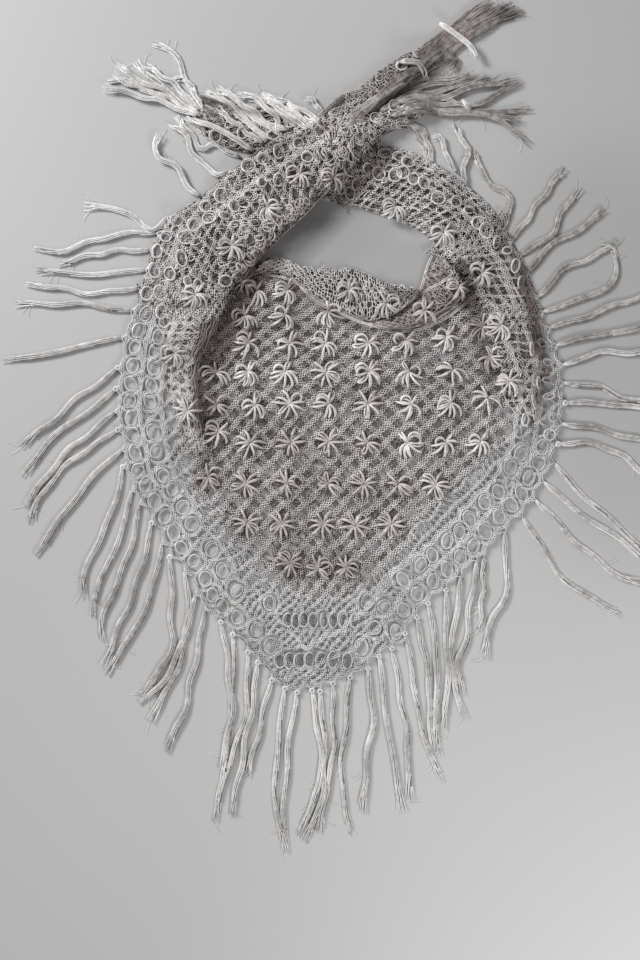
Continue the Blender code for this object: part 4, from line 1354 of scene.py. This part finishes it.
# above this row the knots are hidden, and outside these columns most are too small to see
KNOTS_FROM = 330
KNOT_COLUMNS = (205, 455)
SMALL_SHARE = 0.7
CORD_THREAD = 0.0015
scallops = []
for before, after in zip(knot_places, knot_places[1:]):
    way = after - before
    middle = before.lerp(after, 0.5)
    peak = middle + Vector((way.y, -way.x, 0)).normalized() * SCALLOP_DEPTH
    fuller = (peak - middle) * SHOULDER[1]
    left, right = before.lerp(peak, SHOULDER[0]) + fuller, after.lerp(peak, SHOULDER[0]) + fuller
    arch = smooth_through([before, left, peak, right, after], 3)
    scallops.append(([draped(place.x, place.y, 0.0004) for place in arch], False, None))
for place in knot_places:
    small = not KNOT_COLUMNS[0] < place.x < KNOT_COLUMNS[1]
    if place.y < KNOTS_FROM or (small and chance.random() < SMALL_SHARE):
        continue
    for rise, radius in KNOT_TURNS:
        centre = draped(place.x, place.y, rise * SQUARE)
        points = []
        for number in range(KNOT_POINTS):
            angle = math.tau * number / KNOT_POINTS
            off = Vector((math.cos(angle), math.sin(angle), 0.25 * math.sin(2 * angle)))
            points.append(centre + off * KNOT_RADIUS * radius * SQUARE)
        scallops.append((points, True, None))
edge_cord = yarn_piece("edge_cord", scallops, CORD_THREAD, EDGE_YARN)

# %% [markdown]
# On the folded stretches the net runs in the cloth's own directions, along the roll and
# round it, so each stretch makes its bands on its own surface. Loose arcs of yarn darkened
# as painted shade just below it stand for the layers that show through, and a few of its own
# yarn lie on it. Where the cloth turns under, the net is pulled into smooth threads that run
# along the fold, in darker yarn that is painted shade.

# %% Lace on the folded stretches
# how far the slanting bands are apart, and how far on the stretches with close lace
FOLD_CELL = 11.5
CLOSE_CELL = 8.0
CLOSE_LACE = ("neck_roll", "twist_band")
FOLD_BAND = 3.2
CLIMB_STEPS = 24
# bands that cross others lie over them
FOLD_LIFT = 0.0008
OVER_LIFT = 0.0011
# the insides of the twisted part and of the upper tail lie in shade, so their nets are painted
# darker, and the nets near the light are painted paler
NET_FINISHES = {
    "twist_band": TWIST_SHADE_YARN, "left_tail_upper": TAIL_SHADE_YARN, "right_wing_upper": EDGE_YARN,
    "right_wing_lower": EDGE_YARN, "neck_roll": EDGE_YARN, "left_wing": PALE_YARN,
}
BACK_FINISHES = {"twist_band": UNDER_YARN}
# smooth threads: their yarn, thickness and pitch, and where they differ
INNER_THREADS = (INNER_YARN, 0.0024, 2.0)
SOFT_THREADS = {"left_pleat": (PLEAT_YARN, 0.0016, 1.0)}
# stretches whose bands run along and across the fold, and how far they are apart
SQUARE_LACE = {"right_wing_upper": 8.8, "right_wing_lower": 9.6, "right_pleat": 9.6, "left_pleat": 8.6}
SQUARE_WANDER = 2.6
FOLD_WANDER = 3.2
# the left wing's bands keep their ways over the floor: those ways, and how far the bands are apart
SLANTED_WAYS = (0.87, 1.92)
SLANTED_CELL = 9.5
SLANTED_STEP = 3
SLANTED_LIFT = 0.0009
SLANTED_PART = [
    (136, 303), (141, 287), (148, 268), (152, 250), (159, 234), (170, 218), (200, 198), (232, 171),
    (262, 150), (290, 134), (318, 118), (343, 105), (384, 134), (368, 149), (352, 167), (320, 198),
    (302, 217), (286, 231), (273, 244), (260, 258), (247, 272), (235, 288), (225, 303),
]
# square pixels of cloth to each arc below the net and each loose one on it; neat lace has no loose ones
UNDER_EACH = 55
LOOSE_EACH = 110
NEAT_LACE = ("right_wing_lower", "right_pleat")
# their radii and their height
UNDER_ARCS = ((3.5, 6.5), 0.0001)
LOOSE_ARCS = ((2.0, 4.5), 0.0014)
UNDER_THREAD = 0.0022
LOOSE_THREAD = 0.0012
# the share of the way round from which the threads run smooth
SMOOTH_FROM = {
    "left_wing": 0.93, "left_pleat": 0.66, "twist_band": 0.72, "left_tail_upper": 0.86,
    "left_tail_lower": 0.88, "right_pleat": 0.96,
}
# columns: the stretch, and between which shares of the way round smooth threads lie on the net
RIDGES = (("right_pleat", 0.06, 0.24), ("right_wing_lower", 0.10, 0.24))
RIDGE_LIFT = 0.0012


def smooth_threads(stretch, place, first, last, lift, pitch):
    """Threads pulled smooth along a fold, between two distances across it."""
    strands = []
    count = int((last - first) / pitch) + 2
    steps = max(int(stretch.length / 7), 4)
    for number in range(count):
        points = []
        for step in range(steps + 1):
            across = first + (last - first) * number / (count - 1) + chance.uniform(-1.5, 1.5)
            height = lift + chance.uniform(0, 0.0010)
            points.append(place(stretch.length * step / steps, across, height))
        strands.append((points, False, [chance.uniform(0.4, 1.0) for _ in points]))
    return strands


def slanted_bands(net):
    """Two families of bands over the left wing's part of the chart."""
    columns, rows = zip(*SLANTED_PART)
    middle = Vector(((min(columns) + max(columns)) / 2, (min(rows) + max(rows)) / 2, 0))
    reach = (max(columns) - min(columns) + max(rows) - min(rows)) / 2
    for way in SLANTED_WAYS:
        run_way = Vector((math.cos(way), math.sin(way), 0))
        side = Vector((-run_way.y, run_way.x, 0))
        for number in range(-int(reach / SLANTED_CELL), int(reach / SLANTED_CELL) + 1):
            run = []
            for tick in range(-int(reach / SLANTED_STEP), int(reach / SLANTED_STEP)):
                place = middle + side * number * SLANTED_CELL + run_way * SLANTED_STEP * tick
                place += wander(place.x, place.y, CROSS_WANDER)
                if inside(SLANTED_PART, place.x, place.y):
                    run.append(place)
                else:
                    net.band(run, FINE_BAND, SLANTED_LIFT, ONE_ROW, FINE_STEP)
                    run = []


def square_bands(net, length, lace_end, cell):
    """Bands along a stretch, with others across them."""
    for number in range(int(lace_end / cell) + 1):
        across = (number + 0.5) * cell
        if across < lace_end:
            route = [Vector((0, across, 0)), Vector((length, across, 0))]
            net.band(route, FINE_BAND, FOLD_LIFT, ONE_ROW, FINE_STEP)
    for number in range(int(length / cell)):
        along = (number + 0.5) * cell
        route = [Vector((along, 0, 0)), Vector((along + chance.uniform(-2, 2), lace_end, 0))]
        net.band(route, FINE_BAND, OVER_LIFT, ONE_ROW, FINE_STEP)


def climbing_bands(net, length, width, lace_end, cell):
    """Two families of bands that climb aslant from one side of a stretch towards the other."""
    for family in (1, -1):
        start = chance.uniform(0, cell)
        for number in range(-int(width / cell) - 2, int((length + width) / cell) + 2):
            route = []
            for tick in range(CLIMB_STEPS + 1):
                across = lace_end * tick / CLIMB_STEPS
                along = number * cell + start + family * across
                if 0 <= along <= length:
                    route.append(Vector((along, across, 0)))
            net.band(route, FOLD_BAND, FOLD_LIFT, ONE_ROW)


def scattered_arcs(count, place, length, lace_end, radii, lift):
    """Arcs strewn over a stretch."""
    strands = []
    for _ in range(count):
        along, across = chance.uniform(4, length - 4), chance.uniform(0, lace_end)
        curl(strands, place, along, across, chance.uniform(*radii), lift)
    return strands


def stretch_lace(name, stretch):
    """The net of one folded stretch, the arcs below and on it, and its smooth threads."""
    length, width = stretch.length, stretch.width * ARC_OVER_WIDTH
    lace_end = width * SMOOTH_FROM.get(name, 1.0)
    finish = NET_FINISHES.get(name, NET_YARN)

    def place(along, across, lift):
        """A place on the stretch, shoved a little aside."""
        off = wander(along, across, SQUARE_WANDER if name in SQUARE_LACE else FOLD_WANDER)
        return stretch.at(along + off.x, (across + off.y) / width, lift)

    net = Net(draped if name == "left_wing" else place)
    if name == "left_wing":
        slanted_bands(net)
    elif name in SQUARE_LACE:
        square_bands(net, length, lace_end, SQUARE_LACE[name])
    else:
        climbing_bands(net, length, width, lace_end, CLOSE_CELL if name in CLOSE_LACE else FOLD_CELL)
    net.finish(name + "_net", finish, "folded_lace", BACK_FINISHES.get(name))
    area = length * width
    arcs = scattered_arcs(int(area / UNDER_EACH), place, length, lace_end, *UNDER_ARCS)
    yarn_piece(name + "_under", arcs, UNDER_THREAD, UNDER_YARN)
    if name not in NEAT_LACE:
        arcs = scattered_arcs(int(area / LOOSE_EACH), place, length, lace_end, *LOOSE_ARCS)
        yarn_piece(name + "_loose", arcs, LOOSE_THREAD, finish)
    inner_finish, thread, pitch = SOFT_THREADS.get(name, INNER_THREADS)
    smooth = []
    if lace_end < width:
        smooth += smooth_threads(stretch, place, lace_end, width, 0.0, pitch)
    for ridged, first, last in RIDGES:
        if ridged == name:
            smooth += smooth_threads(stretch, place, first * width, last * width, RIDGE_LIFT, pitch)
    if smooth:
        yarn_piece(name + "_inner", smooth, thread, inner_finish)


for name, stretch in stretches.items():
    stretch_lace(name, stretch)
print("folded stretches with lace:", len(stretches))

# %% [markdown]
# The long edge of the triangle is bound with a smooth cord. It shows where that edge is
# turned out: along the roll at the neck, up both sides of the twisted part, and on the
# smaller folds at the sides.

# %% The bound edge
BOUND_EDGES = [
    [(262, 274), (282, 278), (298, 284), (312, 296), (330, 307), (348, 317), (362, 323), (375, 325)],
    [
        (375, 325), (385, 320), (398, 311), (411, 301), (423, 293), (436, 286), (448, 279), (452, 273),
        (450, 267), (443, 261),
    ],
    [(409, 303), (416, 296), (421, 289), (424, 279), (427, 268), (432, 256)],
    [
        (375, 326), (390, 332), (408, 331), (421, 329), (436, 323), (449, 316), (461, 307), (471, 299),
        (479, 290),
    ],
    [(300, 286), (316, 302), (336, 312), (358, 322), (378, 327)],
]
# the cord is two threads side by side, this far to each side of its line
BOUND_SIDES = (-0.8, 0.8)
BOUND_STEP = 5
BOUND_LIFT = 0.0012
BOUND_THREAD = 0.0017
bound = []
for route in BOUND_EDGES:
    line = chart_line(route, BOUND_STEP)
    for off in BOUND_SIDES:
        places = [place + side_of(line, index) * off for index, place in enumerate(line)]
        bound.append(([draped(place.x, place.y, BOUND_LIFT) for place in places], False, None))
yarn_piece("bound_edge", bound, BOUND_THREAD, CORD_YARN, 4)

# %% [markdown]
# Flowers and rings lie on the folds too. There the cloth bends, so they are placed one by
# one, and a ring shows the yarn of the layers behind it, darkened as painted shade.

# %% Flowers and rings on the folds
# columns: the ring's place, half its width and height, and how far it leans
FOLD_RINGS = [
    (222, 197, 6, 8, 0.2), (207, 207, 6, 6, 0.2), (248, 196, 6, 4, 0.5), (236, 207, 6, 6, 0.2),
    (177, 221, 7, 5, 0.4), (195, 227, 6.6, 6.2, 0), (210, 220, 7, 6.2, 0), (226, 217, 6, 3.5, 0.6),
    (187, 240, 7.6, 6, 0), (166, 237, 5.6, 5, 0), (158, 252, 4.6, 6.6, 0), (183, 260, 6, 7.8, 0),
    (170, 275, 6.6, 7.4, 0), (154, 272, 6, 7, 0), (148, 294, 6.2, 6.8, 0),
    (161, 294, 6, 6.8, 0), (162, 313, 6, 7.2, 0), (190, 283, 4.6, 4.6, 0.3), (198, 284, 4.4, 5, 0.3),
    (226, 282, 6.4, 6, 0.3), (250, 169, 7, 7, 0.1), (264, 162, 6, 6.6, 0.1), (280, 155, 5, 7, 0.1),
    (299, 146, 5.6, 5.6, 0.1), (290, 169, 4.6, 4.6, 0.3), (262, 186, 4.6, 5.2, 0.3), (279, 183, 6, 6.6, 0.2),
    (216, 138, 5.6, 6, 0.1), (243, 135, 5, 5.4, 0.1), (273, 137, 5.6, 4.6, 0.2), (308, 160, 6, 5, 0.3),
    (379, 175, 6, 6, 0.2), (395, 177, 6.4, 6.4, 0.1), (404, 174, 6, 7, 0.1), (413, 181, 6, 6, 0.2),
    (424, 184, 5.6, 6.6, 0.2), (437, 200, 7, 6.4, 0.1), (456, 204, 6.4, 6, 0.2), (386, 155, 7, 4.6, 0.3),
    (399, 158, 6.6, 4.6, 0.3), (407, 163, 6.6, 4.6, 0.3), (340, 188, 4, 7, 0.3), (350, 194, 5, 7, 0.2),
    (355, 186, 4.6, 6, 0.3), (367, 169, 6, 5, 0.3), (476, 225, 6.6, 6, 0.2), (486, 232, 6.6, 8, 0.2),
    (507, 251, 6, 3.6, 0.3), (375, 120, 5, 4.6, 0.2), (468, 212, 6, 3.4, 0.3), (514, 266, 4.4, 7.4, 0.3),
    (520, 282, 3.6, 7, 0.4), (495, 243, 4.4, 6.6, 0.4), (393, 108, 5, 6, 0.2), (402, 68, 6, 4.6, 0.3),
    (418, 57, 5, 4.6, 0.3), (542, 344, 5.8, 3.4, 0.5), (547, 362, 5.8, 3.2, 0.5), (547, 380, 6.4, 2.6, 0.5),
    (548, 397, 6.4, 2.8, 0.5), (552, 417, 6.6, 4.4, 0.5), (531, 350, 2.4, 6.6, 0.6), (537, 383, 2.2, 6, 0.6),
    (532, 403, 2.2, 6.6, 0.6), (525, 420, 3.6, 6.6, 0.5), (517, 431, 5.4, 7, 0.5), (549, 435, 6.6, 5.4, 0.5),
]
FOLD_RING_LIFT = 0.0030
FOLD_RING_THREAD = 0.0022
# rings that lean this much or more get no yarn of painted shade inside
SHADED_LEAN = 0.5
FOLD_FLOWERS = [
    (232, 248), (196, 296), (268, 209), (176, 354), (188, 411), (481, 275), (443, 234), (395, 208),
    (348, 291), (386, 304),
]
# fold flowers in the darker yarn of painted shade
SHADED_FOLD_FLOWERS = [(424, 312), (457, 288), (245, 283), (300, 178), (333, 180)]
# loops hang out of the crossing and along the left wing's fold; columns: an outline, how many
# hang there, the way they point, how much it varies, their length and half width
HANGING = (
    (
        [
            (310, 150), (320, 132), (350, 114), (376, 108), (384, 118), (372, 142), (360, 162), (342, 184),
            (322, 184),
        ],
        46, -1.35, 0.9, (8, 14), (1.5, 3.0),
    ),
    (
        [(232, 262), (256, 234), (282, 210), (302, 194), (309, 199), (289, 219), (264, 243), (241, 270)],
        34, -1.0, 0.8, (7, 11), (2.0, 3.6),
    ),
)
HANGING_THREAD = 0.0026
# the border's rings become a piece here, with those of the folds
yarn_rings = yarn_piece("yarn_rings", rings, RING_THREAD, RING_YARN)
fold_rings = []
fold_shades = []
for column, row, width, height, lean in FOLD_RINGS:
    turn = math.pi / 2 + chance.uniform(-0.3, 0.3)
    ring(fold_rings, column, row, width, height, lean, turn, FOLD_RING_LIFT)
    if lean < SHADED_LEAN:
        shaded(fold_shades, column, row, width * 0.9, height * 0.9, 0.0012)
yarn_piece("fold_rings", fold_rings, FOLD_RING_THREAD, RING_YARN)
yarn_piece("fold_ring_shades", fold_shades, SHADE_THREAD, UNDER_YARN)
fold_loops = []
for column, row in FOLD_FLOWERS:
    flower(fold_loops, column, row, 0.98, lift=0.0014)
yarn_piece("fold_flowers", fold_loops, PETAL_THREAD, FOLD_YARN, 5)
sunk_loops = []
for column, row in SHADED_FOLD_FLOWERS:
    flower(sunk_loops, column, row, 0.92, lift=0.0008)
yarn_piece("shaded_fold_flowers", sunk_loops, PETAL_THREAD * 0.9, SHADED_FLOWER_YARN, 5)
hanging = []
for outline, count, way, spread, lengths, halves in HANGING:
    columns, rows = zip(*outline)
    while count:
        column, row = chance.uniform(min(columns), max(columns)), chance.uniform(min(rows), max(rows))
        if inside(outline, column, row):
            seat = seat_at(column, row, 0.0012)
            angle = way + chance.uniform(-spread, spread)
            length = chance.uniform(*lengths)
            rise, bend = chance.uniform(0.6, 2.4), chance.uniform(-1.2, 1.2)
            # every third one stands on edge
            if count % 3 == 0:
                petal(hanging, seat, angle, length * 1.2, 2 * bend, rise)
            else:
                open_loop(hanging, seat, angle, length, chance.uniform(*halves), rise, bend)
            count -= 1
# the hanging loops take the darker yarn of painted shade
yarn_piece("hanging_loops", hanging, HANGING_THREAD, SHADED_FLOWER_YARN)
print("rings on the folds:", len(fold_rings), "hanging loops:", len(hanging))

# %% [markdown]
# A tassel is a bundle of soft threads that start together at the knot, turn slowly round
# each other, and part at the end, where a few fine filaments stick out. A thicker strand of
# dark yarn runs on the side away from the light as painted shade. The tassel's line is drawn
# on the chart and then laid over whatever is below it.

# %% Tassels
TASSEL_THREADS = 9
TASSEL_THREAD = 0.0020
LEE_SHADE_THREAD = 0.0033
FILAMENT = 0.0005
FILAMENT_POINTS = 8
FILAMENT_STEP = 2.6
# a thicker dark strand of painted shade lies on the side away from the light, this far from the middle
LEE_SIDE = (2.0, 2.0)
# the share of the length at which that strand ends
LEE_SHADE_END = 0.9
TASSEL_STEP = 5.5
# how far a tassel's line sways aside: over the floor, and where it is laid over others
FLOOR_SWAY, LAID_SWAY = 1.8, 0.4
# half a tassel's width in squares, and how much it swells and narrows along its length
TASSEL_HALF, TASSEL_SWELL = 2.3, 0.4
# the shares of the length from which its threads part and grow thin, and how fast they do
PARTS_FROM, PARTS_BY = 0.84, 20
THINS_FROM, THINS_BY = 0.88, 5.5
# how much higher the tassels at the crossed ends may lie, and those laid over others do
HEAPED = 0.003
LAID_HEIGHT = 0.0075
END_TASSELS = {
    "fringe_left_shoulder": [
        [(228, 172), (217, 176), (205, 166), (193, 151), (187, 136), (168, 126)],
        [(199, 196), (187, 185), (175, 168), (161, 159), (156, 146), (161, 134)],
        [(240, 158), (217, 146), (202, 148), (190, 134), (176, 116)],
        [(253, 151), (233, 140), (217, 128), (199, 125), (187, 116)],
    ],
    "fringe_left_end": [
        [(350, 126), (372, 106), (400, 80), (428, 56), (455, 26), (474, 9), (491, 2)],
        [(356, 124), (380, 103), (410, 76), (436, 52), (460, 28), (490, 6)],
        [(362, 120), (388, 98), (418, 70), (440, 50), (465, 30), (505, 4)],
        [(372, 116), (396, 94), (424, 68), (444, 52), (470, 32), (514, 6)],
        [(380, 108), (404, 88), (430, 66), (450, 50), (474, 32), (520, 10)],
        [(388, 102), (410, 84), (434, 66), (452, 50), (478, 31), (524, 12)],
        [(410, 62), (434, 50), (474, 33), (508, 14)], [(414, 58), (436, 46), (470, 38), (498, 20)],
        [(400, 88), (420, 74), (436, 62), (462, 44), (484, 27)],
        [(428, 62), (448, 54), (455, 62), (450, 71)], [(420, 50), (440, 38), (466, 20), (484, 6)],
        [(404, 78), (428, 62), (448, 46), (480, 24), (505, 10)],
    ],
    "fringe_left_end_low": [
        [(346, 122), (366, 106), (381, 97), (413, 81), (446, 79), (475, 74)],
        [(360, 116), (384, 101), (412, 88), (446, 83), (470, 77)],
        [(366, 118), (390, 106), (413, 96), (440, 91), (468, 85), (493, 77)],
        [(380, 112), (402, 102), (435, 98), (462, 92), (490, 84), (521, 81)],
        [(400, 110), (424, 104), (452, 106), (471, 105), (494, 95), (519, 82)],
        [(392, 118), (412, 112), (446, 113), (468, 114), (500, 112), (531, 109)],
        [(404, 112), (424, 108), (450, 114), (480, 116), (505, 117), (520, 122)],
        [(398, 104), (416, 99), (446, 98), (458, 106), (470, 112)],
        [(402, 116), (424, 111), (444, 112), (470, 114), (498, 118), (512, 130), (529, 143)],
        [(364, 90), (346, 97), (332, 104), (322, 116), (315, 128)],
    ],
    "fringe_right_end": [
        [(201, 111), (196, 100), (187, 81), (181, 66), (170, 50), (153, 43)],
        [(203, 113), (199, 103), (192, 88), (184, 79), (172, 82)],
        [(199, 115), (189, 108), (170, 94), (148, 86), (131, 75), (116, 66)],
        [(197, 109), (180, 98), (165, 88), (148, 76), (136, 61)],
        [(199, 115), (184, 106), (163, 97), (143, 88), (124, 81), (107, 81)],
        [(197, 117), (182, 110), (163, 104), (143, 97), (122, 92), (103, 88)],
        [(199, 111), (184, 94), (170, 82), (156, 72), (141, 66)],
        [(201, 117), (186, 107), (168, 98), (150, 91), (130, 85), (112, 76)],
    ],
    "fringe_right_end_top": [
        [(267, 142), (262, 137), (247, 122), (225, 103), (214, 91)],
        [(287, 131), (269, 125), (241, 103), (225, 92)], [(278, 134), (275, 116), (256, 100), (237, 94)],
        [(306, 131), (300, 125), (275, 106), (250, 97)], [(319, 125), (303, 119), (278, 103), (262, 94)],
        [(319, 122), (300, 109), (284, 103), (276, 99)], [(323, 114), (319, 109), (312, 100), (306, 97)],
        [(312, 122), (294, 116), (276, 104), (268, 97)], [(298, 128), (280, 116), (262, 104), (244, 97)],
        [(282, 137), (262, 124), (246, 110), (232, 98), (217, 90)],
        [(272, 140), (256, 130), (238, 114), (222, 100), (206, 92)],
        [(262, 144), (248, 134), (232, 122), (216, 110)],
    ],
    "fringe_right_shoulder": [
        [(432, 162), (430, 150), (426, 136), (416, 126), (402, 124)],
        [(427, 160), (424, 148), (418, 136), (408, 128), (394, 126)],
        [(455, 172), (447, 158), (444, 146), (438, 137), (432, 135)],
        [(466, 184), (463, 166), (468, 150), (462, 139), (452, 124)],
    ],
}
# the other tassels are of the plain tassel yarn
TASSEL_TONES = {
    "fringe_left_top": BRIGHT_YARN, "fringe_left": DIM_YARN, "fringe_lower_left": DIM_YARN,
    "fringe_right": DIM_YARN, "fringe_right_top": DARKER_TASSEL_YARN, "fringe_left_shoulder": BRIGHT_YARN,
    "fringe_left_end": ENDS_SHADE_YARN, "fringe_left_end_low": GREY_YARN, "fringe_right_end": BRIGHT_YARN,
    "fringe_right_end_top": BRIGHT_YARN, "fringe_right_shoulder": DIM_YARN,
}
# short bright ends that lie over the tassels of the left end
LAID_OVER = [
    [(439, 25), (457, 37), (470, 48), (476, 62)], [(400, 65), (416, 65), (423, 72), (423, 80)],
    [(462, 101), (466, 105), (471, 110)],
]
# the roots of the right tail's tassels lie in shade before they part
TAIL_ROOTS = [
    [(197, 100), (210, 106), (224, 115), (240, 127)], [(196, 96), (209, 100), (226, 109), (244, 119)],
    [(199, 106), (212, 115), (226, 126)],
]


def tassel_line(route, sway):
    """The route with a soft wave of its own, as places, ways aside and shares of the length."""
    line = chart_line(route, TASSEL_STEP)
    phase, waves = chance.uniform(0, math.tau), chance.uniform(1.2, 3.0)
    found = []
    for index, point in enumerate(line):
        share = index / (len(line) - 1)
        off = sway * math.sin(math.pi * share) * math.sin(phase + math.tau * waves * share)
        found.append((point + side_of(line, index) * off, side_of(line, index), share))
    return found


def level(heights):
    """Heights smoothed upwards, so that a strand bridges a dip and never dives into it."""
    for _ in range(3):
        around = zip([heights[0]] + heights, heights, heights[1:] + [heights[-1]])
        heights = [max(here, (before + 2 * here + after) / 4) for before, here, after in around]
    return heights


def tassel(strands, route, lift=0.0, heap=0.0):
    """Adds the threads of one tassel to the strands, and gives its dark strand of painted shade."""
    line = tassel_line(route, LAID_SWAY if lift else FLOOR_SWAY)
    heights = level([lay(place.x, place.y, 0.0, 0.0)[0].z for place, _, _ in line])
    turns = chance.uniform(-0.9, 0.9)
    stack = lift + chance.uniform(0.0, 0.0014 + heap)
    for thread in range(TASSEL_THREADS):
        start = math.tau * thread / TASSEL_THREADS
        stop = len(line) - chance.choice((0, 0, 1, 2))
        stray = chance.uniform(-1, 1)
        points, radii = [], []
        for index in range(stop):
            place, side, share = line[index]
            half = TASSEL_HALF + TASSEL_SWELL * math.sin(9 * share + start)
            # the threads start close together at the knot
            swell = min(0.4 + share * 7, 1.0) * half
            fray = max(share - PARTS_FROM, 0.0) * PARTS_BY * stray
            angle = start + math.tau * turns * share
            off = swell * math.cos(angle) + fray
            rise = 0.0010 + 0.0008 * math.sin(angle) + stack
            points.append(spot(place.x + side.x * off, place.y + side.y * off, heights[index] + rise))
            radii.append(1.0 - THINS_BY * max(share - THINS_FROM, 0))
        strands.append((points, False, radii))
    # the dark strand of painted shade, moved to the side away from the light
    core = line[:max(int(len(line) * LEE_SHADE_END), 2)]
    places = []
    for index, (place, _, _) in enumerate(core):
        height = heights[index] + stack + 0.0006
        places.append(spot(place.x + LEE_SIDE[0], place.y + LEE_SIDE[1], height))
    return places, False, [min(0.5 + share * 4, 1.0) for _, _, share in core]


def filaments(strands, route):
    """One to three single threads that leave the tassel and curl away."""
    line = chart_line(route, TASSEL_STEP)
    for _ in range(chance.choice((1, 2, 2, 3))):
        start = chance.randint(int(len(line) * 0.55), len(line) - 2)
        way = (line[-1] - line[start]).normalized()
        heading = math.atan2(way.y, way.x) + chance.uniform(-0.5, 0.5)
        turn = chance.uniform(-0.28, 0.28)
        place = line[start].copy()
        points = []
        for _ in range(FILAMENT_POINTS):
            points.append(lay(place.x, place.y, 0.0012, 0.0)[0])
            heading += turn
            place += Vector((math.cos(heading), math.sin(heading), 0)) * FILAMENT_STEP
        strands.append((points, False, None))


loose = []
lee_shades = []
for name, routes in {**TASSELS, **END_TASSELS}.items():
    strands = []
    for route in routes:
        lee_shades.append(tassel(strands, route, heap=HEAPED if name in END_TASSELS else 0.0))
        filaments(loose, route)
    finish = TASSEL_TONES.get(name, TASSEL_YARN)
    piece = yarn_piece(name + "_tassels", strands, TASSEL_THREAD, finish)
    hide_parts(name)
strands = []
for route in LAID_OVER:
    tassel(strands, route, LAID_HEIGHT)
yarn_piece("laid_over_tassels", strands, TASSEL_THREAD, BRIGHT_YARN)
strands = []
for route in TAIL_ROOTS:
    tassel(strands, route)
yarn_piece("tail_roots", strands, TASSEL_THREAD * 0.7, ENDS_SHADE_YARN)
yarn_piece("tassel_lee_shades", lee_shades, LEE_SHADE_THREAD, LEE_SHADE_YARN)
yarn_piece("loose_filaments", loose, FILAMENT, TASSEL_YARN)
print("tassels:", len(lee_shades))

# %% [markdown]
# The net at the front is the only single sheet of cloth here. What was worked is a triangle
# with its long edge at the neck, and its own area is that of its yarn without the gaps.

# %% [markdown]
# The stage is a pale grey floor under a wide soft light from the upper left, with a weaker
# one opposite, and the camera hangs straight above it, as when laundry is photographed
# flat. Its lens is set so that 640 by 960 squares of the chart fill the picture.

# %% Floor, lights and camera
PICTURE = (640, 960)
CAMERA_HEIGHT = 2.4
# half the floor's side, and the cells along it
FLOOR_HALF = 3.0
FLOOR_CELLS = 150
# soft shades on the floor, as lines of the chart, how far they reach and how strong they are
FLOOR_SHADES = [
    (((602, 240), (632, 470)), 150, 0.17), (((285, 240), (318, 214)), 50, 0.8),
    (((300, 246), (345, 222)), 90, 0.30), (((330, 250), (410, 262)), 60, 0.22),
]
SHADED_FLOOR = (0.15, 0.15, 0.15, 1.0)
# columns: the light's name, its place, what it points at, its width and its power
LIGHTS = (
    ("window_light", (-1.9, 1.6, 1.35), (0.0, 0.0, 0.0), 0.9, 73),
    ("room_light", (0.85, -1.25, 0.9), (0.42, -0.76, 0.0), 0.7, 13),
)
SKY_STRENGTH = 0.28
bm = bmesh.new()
bmesh.ops.create_grid(bm, x_segments=FLOOR_CELLS, y_segments=FLOOR_CELLS, size=FLOOR_HALF)
floor_mesh = bpy.data.meshes.new("floor")
bm.to_mesh(floor_mesh)
bm.free()
floor = bpy.data.objects.new("floor", floor_mesh)
bpy.context.scene.collection.objects.link(floor)
floor_finish = Finish("floor_board", 0.7)
tone = floor_finish.speckle(1.2, 1.0)
pale = floor_finish.ramp(tone, (0.3, (0.50, 0.50, 0.50)), (0.7, (0.55, 0.55, 0.55)))
shade = floor_finish.kept("shade")
floor_finish.feed("Base Color", floor_finish.mix("MULTIPLY", shade, pale, SHADED_FLOOR))
floor_mesh.materials.append(floor_finish.material)
keep_near(floor_mesh, "shade", FLOOR_SHADES)
floor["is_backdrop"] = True


def area_light(name, place, aim, size, power):
    """A round light at a place, turned to what it lights."""
    lamp = bpy.data.lights.new(name, "AREA")
    lamp.shape = "DISK"
    lamp.size = size
    lamp.energy = power
    holder = bpy.data.objects.new(name, lamp)
    holder.location = place
    holder.rotation_euler = (Vector(aim) - Vector(place)).to_track_quat("-Z", "Y").to_euler()
    bpy.context.scene.collection.objects.link(holder)


for light in LIGHTS:
    area_light(*light)
world = bpy.data.worlds.new("studio")
world.use_nodes = True
sky = world.node_tree.nodes["Background"]
sky.inputs["Color"].default_value = (1.0, 1.0, 1.0, 1.0)
sky.inputs["Strength"].default_value = SKY_STRENGTH
bpy.context.scene.world = world
bpy.context.scene.view_settings.view_transform = "Standard"
lens = bpy.data.cameras.new("camera")
lens.sensor_fit = "VERTICAL"
lens.sensor_height = 36.0
lens.lens = lens.sensor_height * CAMERA_HEIGHT / (PICTURE[1] * SQUARE)
lens.clip_end = 20.0
camera = bpy.data.objects.new("camera", lens)
centre = spot(PICTURE[0] / 2, PICTURE[1] / 2)
camera.location = (centre.x, centre.y, CAMERA_HEIGHT)
bpy.context.scene.collection.objects.link(camera)
bpy.context.scene.camera = camera
print("the picture is", round(PICTURE[0] * SQUARE, 3), "by", round(PICTURE[1] * SQUARE, 3), "m")

# %% [markdown]
# Last, the bounding boxes of the solids and of the dressed shawl are worked out.

# %% Sizes, and the end
[[list(map(float, corner)) for corner in box] for box in (solid_box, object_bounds())]
